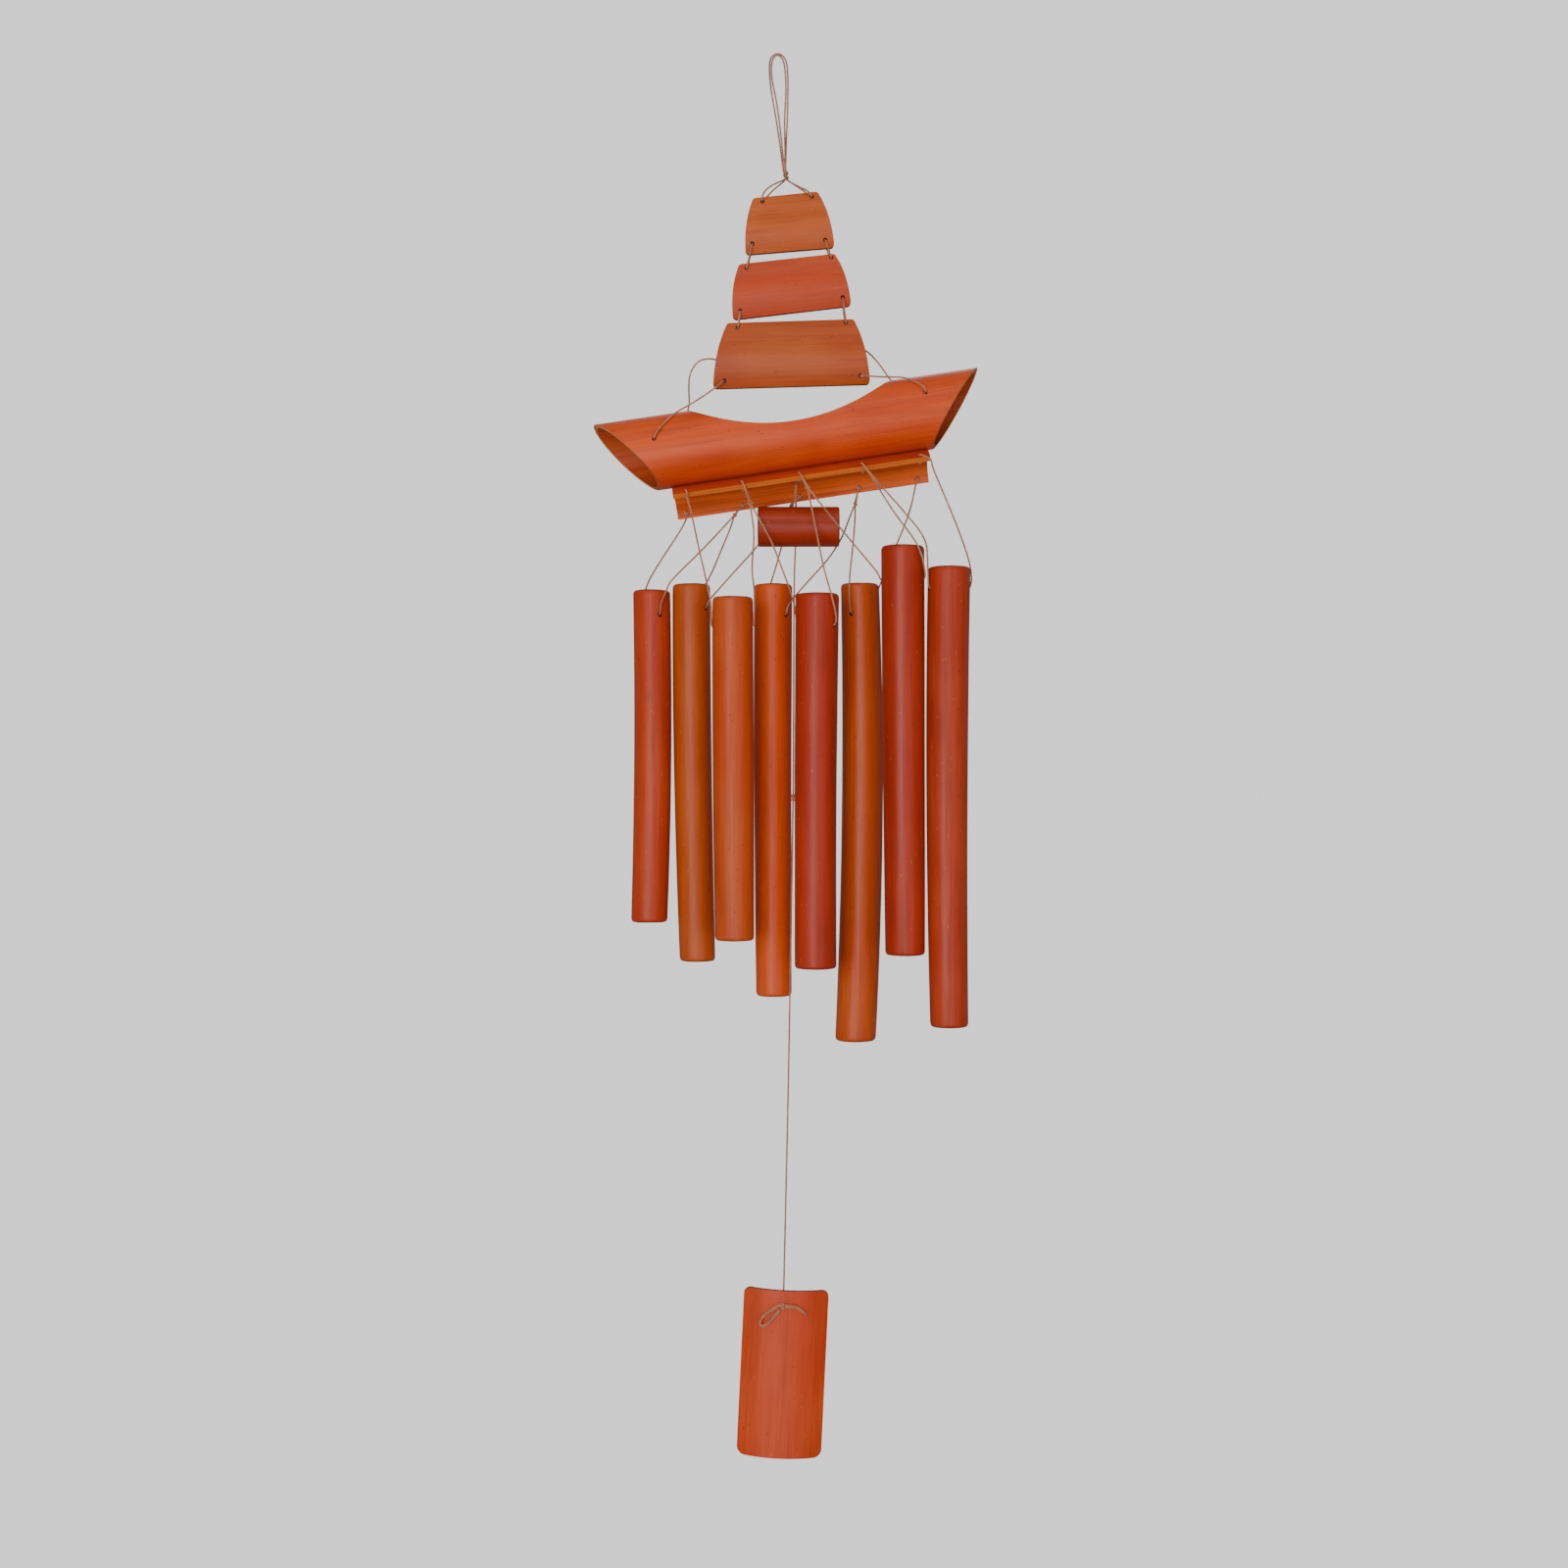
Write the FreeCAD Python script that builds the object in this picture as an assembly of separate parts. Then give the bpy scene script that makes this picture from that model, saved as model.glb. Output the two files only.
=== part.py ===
"""Bamboo ship wind chime: three sails, a hull, a hanger with eight tubes, a clapper and a wind catcher."""
import FreeCAD, Part
import math
import os

# Millimetres. X is to the right as the sails face the viewer, Y is away from the viewer, Z is up.
# The origin is the inside top of the hanging loop, where a hook holds the chime.

V = FreeCAD.Vector

# ---------------------------------------------------------------- driving dimensions
TWINE = 0.8            # diameter of the waxed twine
TIE_HOLE = 2.2         # holes that the twine passes through
TUBE_HOLE = 2.6        # the same in the tubes
KNOT = 1.1             # radius of a small overhand knot

SAIL_WALL = 2.5
SAIL_CORNER = 2.0      # corner radius of a sail's outline

HULL_TILT = 8.5        # degrees, right end up
HULL_CENTRE = (6.6, -192.0)
HULL_RADIUS = 18.75
HULL_WALL = 2.1
HULL_TOP = (-98.9, 98.9)        # along the hull, from its centre
HULL_BOTTOM = (-70.2, 69.9)
HULL_SKEW = (-0.22, 0.14)       # how far each mitre runs along the hull for each millimetre to the rear
SCOOP = (-50.9, 53.6)           # where the scoop's arc meets the hull's top
SCOOP_DEPTH = 15.9
SCOOP_EASE = 18.0               # radius that eases the scoop's right end
HULL_HOLES = ((-68.8, 4.2), (69.2, 7.2))   # along the hull, up from its axis

HANGER_RADIUS = 18.0
HANGER_WALL = 3.0
HANGER_SPAN = (-64.0, 67.3)
HANGER_FRONT, HANGER_REAR = -46.0, 77.0    # degrees from its crown to its two cut edges
HANGER_GLUE = 0.15                         # depth that the glued crown is bedded in the hull
FRONT_HOLE_ANGLE, REAR_HOLE_ANGLE = -38.0, 66.0
FRONT_HOLES = (-57.4, -28.8, 0.5, 32.4, 62.0)
REAR_HOLES = (-59.4, -29.8, -0.1, 31.0, 61.4)

FRONT_ROW, REAR_ROW = -14.0, 14.0          # Y of the two rows of tubes
TUBE_RIM = 1.0                             # rounding of the sanded rims

# name: row, (top z, bottom z), (x at top, middle, bottom), (diameter at top, middle, bottom),
#       (height, direction in degrees from the front towards +X) of the drilled holes, wall.
#       The left tubes have thick walls and the right ones thin, so the chime balances under its loop.
TUBES = {
    "tube_1": (REAR_ROW, (-271.0, -442.3), (-65.5, -64.9, -66.7), (19.2, 19.3, 18.8), (-284.1, 28), 4.0),
    "tube_2": (REAR_ROW, (-267.9, -462.4), (-44.9, -44.1, -41.7), (19.6, 19.6, 18.4), (-280.4, 51), 4.0),
    "tube_3": (FRONT_ROW, (-277.1, -449.6), (-22.8, -22.5, -21.9), (20.4, 20.8, 19.9), (-292.2, 78), 3.9),
    "tube_4": (REAR_ROW, (-267.9, -480.4), (-2.6, -2.8, -2.2), (19.8, 19.4, 18.4), (-284.0, 41), 3.6),
    "tube_5": (FRONT_ROW, (-275.4, -463.7), (19.8, 18.9, 18.9), (22.0, 21.2, 21.0), (-291.6, 52), 2.8),
    "tube_6": (REAR_ROW, (-267.6, -503.5), (42.2, 43.5, 39.9), (19.8, 21.2, 21.0), (-283.6, -30), 2.4),
    "tube_7": (FRONT_ROW, (-251.4, -456.9), (62.7, 63.3, 63.9), (21.7, 21.2, 20.0), (-268.4, 75), 2.3),
    "tube_8": (FRONT_ROW, (-262.0, -493.0), (86.1, 85.0, 86.1), (21.4, 20.8, 19.2), (-273.0, 110), 2.3),
}

CLAPPER_RADIUS, CLAPPER_WALL = 10.2, 2.5
CLAPPER_SPAN = (-10.4, 31.2)
CLAPPER_Z = -239.8
CLAPPER_CORD_X = 9.0

CATCHER_RADIUS, CATCHER_WALL = 42.0, 2.6
CATCHER_SIZE = (43.4, 85.3)
CATCHER_CENTRE = (2.3, -671.6)
CATCHER_LEAN = -2.7                        # degrees, top to the right
CATCHER_CORNER = 4.0
CATCHER_HOLE = (2.0, -636.2)
CATCHER_FACE = -3.4                        # Y of the catcher's front at its middle

# Each sail: tilt, outer radius, corners TL TR BR BL, and holes TL TR BR BL, all as (x, z).
SAILS = {
    "sail_top": (5.4, 30.0,
                 ((-12.7, -72.1), (20.0, -68.7), (28.8, -97.0), (-16.6, -100.8)),
                 ((-8.0, -74.3), (17.2, -71.8), (24.0, -93.8), (-13.1, -95.8))),
    "sail_middle": (6.6, 30.0,
                    ((-19.9, -105.8), (28.8, -100.5), (37.3, -126.9), (-23.1, -134.0)),
                    ((-16.1, -108.2), (27.0, -102.8), (32.9, -123.1), (-19.3, -130.0))),
    "sail_bottom": (1.8, 33.0,
                    ((-25.9, -135.8), (38.5, -133.8), (47.0, -166.9), (-33.2, -169.2)),
                    ((-20.6, -138.6), (34.5, -136.0), (41.8, -163.1), (-27.3, -165.6))),
}
SAIL_BULGE = 1.6       # how far a sail's sides bow out

parts = {}


# ---------------------------------------------------------------- frames and helpers
def rad(degrees):
    return math.radians(degrees)


HULL_ALONG = V(math.cos(rad(HULL_TILT)), 0, math.sin(rad(HULL_TILT)))
HULL_UP = V(-math.sin(rad(HULL_TILT)), 0, math.cos(rad(HULL_TILT)))


def hull_point(along, y, up):
    """A point given along the hull, across it and up from its axis."""
    return V(HULL_CENTRE[0], y, HULL_CENTRE[1]) + HULL_ALONG * along + HULL_UP * up


def hanger_point(along, angle, radius):
    """A point of the hanger, given along it, by degrees from its crown and by distance from its centre."""
    centre = -HULL_RADIUS - HANGER_RADIUS + HANGER_GLUE
    return hull_point(along, radius * math.sin(rad(angle)), centre + radius * math.cos(rad(angle)))


def tube_centre(name, z):
    """X of a tube's centre line at a height: a parabola through its top, middle and bottom."""
    _, (top, bottom), (a, b, c), _, _, _ = TUBES[name]
    t = (top - z) / (top - bottom)
    return a * (1 - t) * (1 - 2 * t) + 4 * b * t * (1 - t) + c * t * (2 * t - 1)


def tube_hole(name, side, beyond=0.0):
    """A point on a tube's drilled line: side +1 is the marked end, -1 the opposite one."""
    row, _, _, diameters, (z, direction), _ = TUBES[name]
    reach = side * (diameters[0] / 2 + beyond)
    return V(tube_centre(name, z) + reach * math.sin(rad(direction)), row - reach * math.cos(rad(direction)), z)


def wire_of(edges):
    return Part.Wire([e.toShape() for e in edges])


def prism(points, y0, y1, bulges=None):
    """A flat outline in (x, z) pushed from y0 to y1. bulges gives a mid-point for each side that is an arc."""
    corners = [V(x, y0, z) for x, z in points]
    edges = []
    for i, start in enumerate(corners):
        end = corners[(i + 1) % len(corners)]
        if bulges and bulges[i]:
            edges.append(Part.Arc(start, V(bulges[i][0], y0, bulges[i][1]), end))
        else:
            edges.append(Part.LineSegment(start, end))
    return Part.Face(wire_of(edges)).extrude(V(0, y1 - y0, 0))


def cylinder(radius, start, end):
    return Part.makeCylinder(radius, (end - start).Length, start, end - start)


def bead(centre, radius=KNOT):
    return Part.makeSphere(radius, centre)


def cord(name, points, closed=False):
    """A round tube along straight runs joined by tangent arcs, each as large as its two runs allow."""
    points = [V(*p) for p in points]
    count = len(points)
    corners = range(count) if closed else range(1, count - 1)
    arcs, radii = {}, []
    for i in corners:
        before, here, after = points[i - 1], points[i], points[(i + 1) % count]
        into, out = here - before, after - here
        reach = 0.45 * min(into.Length, out.Length)
        into.normalize()
        out.normalize()
        half = into.getAngle(out) / 2
        radius = reach / math.tan(half)
        radii.append(round(radius, 1))
        inward = out - into
        inward.normalize()
        middle = here + inward * (radius / math.cos(half) - radius)
        arcs[i] = (here - into * reach, middle, here + out * reach)
    edges, last = [], arcs[count - 1][2] if closed else points[0]
    for i in corners:
        start, middle, end = arcs[i]
        edges.append(Part.LineSegment(last, start))
        edges.append(Part.Arc(start, middle, end))
        last = end
    if not closed:
        edges.append(Part.LineSegment(last, points[-1]))
    path = wire_of(edges)
    first = edges[0].toShape()
    start = first.Vertexes[0].Point
    section = Part.Wire(Part.makeCircle(TWINE / 2, start, first.tangentAt(first.FirstParameter)))
    tube = path.makePipeShell([section], True, True)
    expected = math.pi * (TWINE / 2) ** 2 * path.Length
    print(f"{name}: length {path.Length:.1f}, radii {radii}, volume {tube.Volume:.1f} of {expected:.1f}")
    return tube


# ---------------------------------------------------------------- hanging loop and bridle
TOP_KNOT = V(3.9, 0, -60.6)
LOOP_INNER = [(3.4, -0.45, -58.0), (3.6, -0.45, -44.0), (1.7, -0.45, -29.0), (-1.9, -0.45, -17.0),
              (-3.3, -0.45, -8.0), (-2.6, -0.45, -1.0), (-0.1, -0.45, 1.9), (2.7, -0.45, -0.6),
              (4.0, -0.45, -7.5), (4.2, -0.45, -19.0), (3.7, -0.45, -32.0), (4.3, -0.45, -46.0),
              (3.7, -0.45, -58.2)]
LOOP_OUTER = [(2.6, 0.45, -58.4), (1.3, 0.45, -48.0), (-0.7, 0.45, -34.0), (-3.1, 0.45, -19.0),
              (-4.2, 0.45, -9.0), (-3.4, 0.45, -0.6), (-0.2, 0.45, 2.8), (3.5, 0.45, 0.0),
              (4.9, 0.45, -7.5), (5.0, 0.45, -19.0), (4.6, 0.45, -32.0), (3.9, 0.45, -45.0),
              (4.6, 0.45, -58.2)]
BRIDLE_LEFT = [(2.6, -0.6, -63.2), (-2.3, -1.4, -65.4), (-6.0, -2.2, -68.2), (-7.9, -2.6, -71.0),
               (-8.3, -2.7, -74.1), (-8.0, 0.8, -74.5), (-7.7, 4.3, -73.4), (-6.6, 4.8, -71.0),
               (-2.6, 3.0, -67.0), (2.9, 0.6, -63.6)]
BRIDLE_RIGHT = [(5.0, -0.6, -63.4), (10.6, -1.6, -66.8), (14.9, -2.4, -68.8), (17.1, -2.7, -71.6),
                (17.2, 0.8, -72.0), (17.0, 4.3, -70.9), (15.2, 4.7, -68.5), (10.8, 2.8, -66.0),
                (5.3, 0.7, -63.2)]


def make_suspension():
    parts["loop_inner_strand"] = cord("loop_inner_strand", LOOP_INNER)
    parts["loop_outer_strand"] = cord("loop_outer_strand", LOOP_OUTER)
    parts["top_knot"] = bead(TOP_KNOT, 2.0)
    parts["bridle_left"] = cord("bridle_left", BRIDLE_LEFT)
    parts["bridle_right"] = cord("bridle_right", BRIDLE_RIGHT)


# ---------------------------------------------------------------- sails and their links
def sail(tilt, radius, corners, holes):
    """A strip split from a wide culm that lies along the sail's tilt, its bark to the front."""
    along = V(math.cos(rad(tilt)), 0, math.sin(rad(tilt)))
    up = V(-math.sin(rad(tilt)), 0, math.cos(rad(tilt)))
    heights = [V(x, 0, z).dot(up) for x, z in holes]
    middle = sum(heights) / 4
    rise = (heights[0] + heights[1] - heights[2] - heights[3]) / 4
    back = math.sqrt((radius - SAIL_WALL / 2) ** 2 - rise**2)
    reach = 120
    start = up * middle + V(0, back, 0) - along * reach
    end = start + along * (2 * reach)
    culm = cylinder(radius, start, end).cut(cylinder(radius - SAIL_WALL, start, end))
    bulges = [None] * 4
    for i, side in ((1, 1), (3, -1)):
        (x0, z0), (x1, z1) = corners[i], corners[(i + 1) % 4]
        bulges[i] = ((x0 + x1) / 2 + side * SAIL_BULGE, (z0 + z1) / 2)
    outline = prism(corners, -15, back, bulges)
    upright = [e for e in outline.Edges if abs(e.tangentAt(e.FirstParameter).y) > 0.99]
    strip = culm.common(outline.makeFillet(SAIL_CORNER, upright))
    for x, z in holes:
        strip = strip.cut(cylinder(TIE_HOLE / 2, V(x, -15, z), V(x, back, z)))
    return strip


def link(name, upper, lower):
    """A closed loop of twine through a hole of one sail and a hole of the sail below."""
    (x0, z0), (x1, z1) = upper, lower
    front, rear, lean = -2.7, 4.9, 0.10
    span = z0 - z1
    route = [(front, 0.0), (front, 1.0), (3.0, 1.03), (rear, 1.0 - 2.8 / span), (rear, 2.8 / span), (3.0, -0.03)]
    points = []
    for y, share in route:
        x = x0 + (x1 - x0) * share + lean * y
        points.append((x, y, z0 - span * share))
    return cord(name, points, closed=True)


def make_sails():
    for name, shape in SAILS.items():
        parts[name] = sail(*shape)
    top, middle, bottom = (SAILS[n][3] for n in ("sail_top", "sail_middle", "sail_bottom"))
    for name, upper, lower in (
        ("link_top_left", top[3], middle[0]),
        ("link_top_right", top[2], middle[1]),
        ("link_low_left", middle[3], bottom[0]),
        ("link_low_right", middle[2], bottom[1]),
    ):
        parts[name] = link(name, upper, lower)


# ---------------------------------------------------------------- hull and hanger
def hull():
    """A culm mitred askew at both ends, its tips at the top, with a long scoop cut from its top."""
    left, right = HULL_TOP[0] - 10, HULL_TOP[1] + 10
    culm = cylinder(HULL_RADIUS, hull_point(left, 0, 0), hull_point(right, 0, 0))
    culm = culm.cut(cylinder(HULL_RADIUS - HULL_WALL, hull_point(left, 0, 0), hull_point(right, 0, 0)))
    boat = culm.cut(mitre_cutter(0)).cut(mitre_cutter(1)).cut(scoop_cutter())
    for along, up in HULL_HOLES:
        front, rear = (hull_point(along, y * (HULL_RADIUS + 5), up) for y in (-1, 1))
        boat = boat.cut(cylinder(TIE_HOLE / 2, front, rear))
    hole = clapper_hole()
    return boat.cut(cylinder(TIE_HOLE / 2, *hole))


def mitre_cutter(end):
    """What the saw takes from the left (0) or right (1) end: all beyond a slanted, skewed plane."""
    slope = (HULL_TOP[end] - HULL_BOTTOM[end]) / (2 * HULL_RADIUS)
    middle = (HULL_TOP[end] + HULL_BOTTOM[end]) / 2
    reach = HULL_RADIUS + 5
    corners = []
    for y, up in ((-reach, -reach), (reach, -reach), (reach, reach), (-reach, reach)):
        corners.append(hull_point(middle + slope * up + HULL_SKEW[end] * y, y, up))
    plane = Part.Face(Part.makePolygon(corners + corners[:1]))
    return plane.extrude(HULL_ALONG * (80 if end else -80))


def scoop_cutter():
    """What the scoop takes away: above one long arc that eases into the top at its right end."""
    half = (SCOOP[1] - SCOOP[0]) / 2
    radius = (half**2 + SCOOP_DEPTH**2) / (2 * SCOOP_DEPTH)
    centre = (SCOOP[0] + half, HULL_RADIUS - SCOOP_DEPTH + radius)
    drop = centre[1] - (HULL_RADIUS - SCOOP_EASE)
    reach = math.sqrt((radius + SCOOP_EASE) ** 2 - drop**2)
    share = radius / (radius + SCOOP_EASE)
    join = (centre[0] + reach * share, centre[1] - drop * share)
    crest = (centre[0] + reach, HULL_RADIUS)
    tilt = math.atan2(reach, drop) / 2
    ease = (crest[0] - SCOOP_EASE * math.sin(tilt), HULL_RADIUS - SCOOP_EASE * (1 - math.cos(tilt)))
    low = (centre[0], centre[1] - radius)
    above = 12

    def at(point):
        return hull_point(point[0], -40, point[1])

    edges = [
        Part.Arc(at((SCOOP[0], HULL_RADIUS)), at(low), at(join)),
        Part.Arc(at(join), at(ease), at(crest)),
        Part.LineSegment(at(crest), at((crest[0], HULL_RADIUS + above))),
        Part.LineSegment(at((crest[0], HULL_RADIUS + above)), at((SCOOP[0], HULL_RADIUS + above))),
        Part.LineSegment(at((SCOOP[0], HULL_RADIUS + above)), at((SCOOP[0], HULL_RADIUS))),
    ]
    return Part.Face(wire_of(edges)).extrude(V(0, 80, 0))


def clapper_hole():
    """The line of the hole that the clapper's cord passes through, from inside the hull down."""
    return V(CLAPPER_CORD_X, 0, -205.0), V(CLAPPER_CORD_X, 0, -220.0)


def hanger():
    """A shallow channel split from a culm, glued under the hull, crown up and rear edge lower."""
    start, end = (hanger_point(along, 0, 0) for along in HANGER_SPAN)
    culm = cylinder(HANGER_RADIUS, start, end).cut(cylinder(HANGER_RADIUS - HANGER_WALL, start, end))
    reach = 3 * HANGER_RADIUS
    rim = [V(start)] + [hanger_point(HANGER_SPAN[0], a, reach) for a in (HANGER_FRONT, 0, HANGER_REAR)]
    edges = [Part.LineSegment(a, b) for a, b in zip(rim, rim[1:] + rim[:1])]
    channel = culm.common(Part.Face(wire_of(edges)).extrude(end - start))
    for angle, places in ((FRONT_HOLE_ANGLE, FRONT_HOLES), (REAR_HOLE_ANGLE, REAR_HOLES)):
        for along in places:
            inner, outer = (hanger_point(along, angle, HANGER_RADIUS + d) for d in (-8, 4))
            channel = channel.cut(cylinder(TIE_HOLE / 2, inner, outer))
    return channel.cut(cylinder(TIE_HOLE / 2, *clapper_hole()))


# Each tie is one twine, knotted inside the hull: out of the hull's front hole, up to the bottom sail
# and through its hole, behind the sail, down to the hull's rear hole and back to the knot.
TIE_LEFT = [(-61.8, -0.8, -198.7), (-62.2, -19.6, -198.1), (-61.4, -19.9, -196.2), (-59.8, -18.6, -193.2),
            (-55.2, -14.8, -187.4), (-50.4, -8.8, -182.2), (-44.4, -4.4, -178.2), (-31.4, -3.2, -169.3),
            (-27.9, -2.7, -165.8), (-27.3, 0.8, -165.5), (-27.6, 4.4, -163.6), (-29.0, 4.6, -158.0),
            (-31.2, 4.2, -153.6), (-36.0, 4.0, -153.0), (-41.3, 4.6, -154.2), (-45.6, 6.0, -160.4),
            (-46.0, 7.8, -168.6), (-45.6, 9.2, -175.6), (-47.6, 10.6, -182.2), (-53.6, 15.8, -189.4),
            (-59.8, 19.0, -194.4), (-62.0, 19.9, -196.6), (-62.2, 19.2, -198.0), (-61.8, 0.8, -198.7)]
TIE_RIGHT = [(73.8, -0.8, -175.5), (74.1, -18.6, -174.8), (73.7, -18.9, -172.9), (72.1, -17.8, -171.0),
             (68.3, -13.8, -168.0), (63.3, -7.6, -164.9), (55.6, -4.0, -164.2), (47.2, -3.0, -163.6),
             (42.4, -2.7, -163.0), (41.8, 0.8, -162.9), (41.5, 4.4, -161.0), (41.7, 4.9, -153.6),
             (43.4, 5.0, -147.6), (48.4, 5.6, -151.4), (53.4, 6.8, -157.2), (57.6, 9.0, -163.0),
             (62.8, 12.4, -167.2), (69.6, 17.2, -171.6), (73.6, 19.2, -173.4), (74.1, 18.2, -174.8),
             (73.8, 0.8, -175.5)]


def tie(name, route):
    middle = (V(*route[0]) + V(*route[-1])) / 2
    return cord(name, route).fuse(bead(middle, 1.5))


def lead(route, knots):
    """Twine tied in one of the hanger's holes, with the knots on it."""
    shape = cord("lead", route)
    for knot in knots:
        shape = shape.fuse(bead(V(*knot)))
    return shape


def leads():
    """The doubled twine in each hole of the hanger, down to where the tubes' strings part."""
    for i, along in enumerate(FRONT_HOLES):
        route = [hanger_point(along, FRONT_HOLE_ANGLE, r) for r in (13.6, 19.1)]
        last = V(*FRONT_TIES[i])
        if i == 4:
            route += [V(75.6, -13.2, -204.0), V(77.8, -13.9, -206.4)]
        else:
            edge = hanger_point(along + 1.0, HANGER_FRONT - 3, 19.0)
            route.append(V(edge.x, edge.y - 0.1, edge.z))
        route.append(last)
        parts[f"lead_front_{i + 1}"] = lead(route, [route[0]] + [last] * (0 < i < 4))
    for i, along in enumerate(REAR_HOLES):
        last = V(*REAR_TIES[i])
        if i in (0, 4):
            route = [hanger_point(along, REAR_HOLE_ANGLE, r) for r in (13.4, 19.0)]
            route.append(hanger_point(along, HANGER_REAR + 1, 19.0))
            route.append(last)
            knots = [route[0]]
        else:
            route = [hanger_point(along, REAR_HOLE_ANGLE, r) for r in (19.6, 14.0)]
            below = hanger_point(along, HANGER_REAR, 14.2)
            route.append(V((below.x + last.x) / 2, 13.3, below.z + 0.6))
            route.append(last)
            knots = [route[0], last]
        parts[f"lead_rear_{i + 1}"] = lead(route, knots)


# Where the tubes' strings leave the hanger: the knots under its edges, and the edges at its ends.
FRONT_TIES = [(-46.0, -14.0, -225.8), (-14.1, -14.0, -229.6), (14.8, -14.0, -221.8),
              (48.7, -14.0, -218.0), (77.5, -14.0, -210.3)]
REAR_TIES = [(-48.0, 17.9, -233.8), (-22.6, 13.4, -232.1), (7.0, 13.4, -226.6),
             (39.9, 13.4, -226.1), (71.8, 17.9, -213.6)]


def make_hull():
    parts["hull"] = hull()
    parts["hanger"] = hanger()
    parts["hull_tie_left"] = tie("hull_tie_left", TIE_LEFT)
    parts["hull_tie_right"] = tie("hull_tie_right", TIE_RIGHT)
    leads()
    top, _ = clapper_hole()
    anchor = cylinder(TWINE / 2, V(CLAPPER_CORD_X, 0, -213.0), top)
    parts["clapper_cord_anchor"] = anchor.fuse(bead(top, 1.6))


# ---------------------------------------------------------------- tubes and their strings
# Each string runs from one tie of the hanger to the tube's one hole (left), and from its other hole
# to the next tie (right). side is the end of the drilled line that the left part reaches.
STRINGS = {
    "tube_1": (-1, [(-48.6, 18.2, -235.4), (-51.6, 18.6, -240.6), (-62.4, 20.6, -256.4), (-69.6, 23.0, -268.4),
                    (-70.6, 23.6, -279.4)],
               [(-60.4, 4.4, -279.0), (-57.2, 6.0, -271.4), (-55.6, 8.0, -266.6), (-38.6, 12.0, -249.6),
                (-24.8, 13.4, -234.4)]),
    "tube_2": (-1, [(-23.4, 13.4, -234.6), (-25.0, 13.6, -239.4), (-29.3, 15.4, -249.4), (-36.0, 19.6, -264.6),
                    (-41.6, 24.6, -271.6), (-49.4, 24.4, -277.6)],
               [(-35.6, 8.0, -276.6), (-33.2, 9.4, -273.6), (-22.8, 11.4, -261.6), (-10.6, 12.8, -248.2),
                (5.2, 13.4, -228.6)]),
    "tube_3": (-1, [(-45.6, -14.0, -227.6), (-43.8, -14.1, -233.4), (-39.6, -14.2, -253.6), (-35.6, -13.6, -270.6),
                    (-33.7, -12.2, -280.4), (-33.6, -11.8, -289.0)],
               [(-12.2, -16.6, -288.4), (-11.8, -15.2, -281.4), (-11.9, -14.4, -272.6), (-13.4, -14.2, -262.4),
                (-11.7, -14.0, -245.4), (-13.8, -14.0, -232.0)]),
    "tube_4": (-1, [(6.5, 13.4, -229.0), (1.6, 14.6, -249.0), (-3.6, 24.2, -265.6), (-8.2, 23.6, -277.4)],
               [(4.8, 5.2, -280.0), (8.6, 8.6, -274.6), (11.8, 11.0, -270.4), (31.0, 13.0, -249.3),
                (38.6, 13.4, -228.6)]),
    "tube_5": (-1, [(-12.8, -14.0, -231.8), (-9.4, -14.0, -237.9), (-3.6, -14.0, -248.0), (2.2, -13.8, -263.0),
                    (7.9, -12.2, -278.4), (9.2, -9.2, -287.4)],
               [(29.2, -21.8, -287.4), (26.6, -23.6, -276.4), (22.8, -22.4, -263.6), (19.2, -14.4, -243.4),
                (15.3, -14.0, -224.3)]),
    "tube_6": (1, [(39.8, 13.4, -228.8), (39.6, 12.8, -236.4), (38.3, 9.2, -250.6), (36.4, 4.4, -266.4),
                   (36.5, 3.6, -278.8)],
               [(48.8, 23.8, -278.6), (52.0, 22.6, -269.6), (61.3, 19.4, -247.2), (68.6, 18.2, -229.4),
                (71.4, 18.2, -215.6)]),
    "tube_7": (-1, [(16.5, -14.0, -223.6), (22.3, -13.9, -231.2), (34.2, -13.6, -245.6), (45.2, -12.8, -258.6),
                    (50.6, -11.4, -264.8)],
               [(73.6, -19.4, -264.4), (71.8, -22.5, -256.8), (68.0, -24.4, -249.0), (58.6, -16.6, -235.4),
                (49.6, -14.3, -220.6)]),
    "tube_8": (-1, [(50.6, -13.7, -219.6), (62.4, -13.4, -232.6), (74.6, -15.4, -247.6), (75.0, -17.6, -259.4),
                    (75.2, -18.8, -268.4)],
               [(98.0, -10.4, -267.6), (96.4, -12.4, -258.4), (90.8, -14.0, -243.0), (84.4, -14.0, -227.4),
                (77.8, -14.0, -212.0)]),
}
STRING_OUT = 0.7       # how far outside the bark a string turns into its hole
STRING_SAG = 0.6       # how far it hangs below the holes inside the tube


def tube(name):
    """A slightly bowed and tapered length of culm with sanded rims, open at both ends."""
    row, (top, bottom), _, diameters, _, wall = TUBES[name]
    sections = {"outer": [], "inner": []}
    for diameter, z in zip(diameters, (top, (top + bottom) / 2, bottom)):
        centre = V(tube_centre(name, z), row, z)
        for kind, radius in (("outer", diameter / 2), ("inner", diameter / 2 - wall)):
            sections[kind].append(Part.Wire(Part.makeCircle(radius, centre, V(0, 0, 1))))
    outer = Part.makeLoft(sections["outer"], True)
    rims = [e for e in outer.Edges if e.BoundBox.ZLength < 0.01]
    outer = outer.makeFillet(TUBE_RIM, rims)
    shape = outer.cut(Part.makeLoft(sections["inner"], True))
    return shape.cut(cylinder(TUBE_HOLE / 2, tube_hole(name, -1, 3), tube_hole(name, 1, 3)))


def string_route(name):
    side, left, right = STRINGS[name]
    inside = []
    for end in (side, -side):
        inner = tube_hole(name, end, -5.0)
        inside.append(V(inner.x, inner.y, inner.z - STRING_SAG))
    first, last = tube_hole(name, side, STRING_OUT), tube_hole(name, -side, STRING_OUT)
    return left + [first, inside[0], inside[1], last] + right


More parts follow.
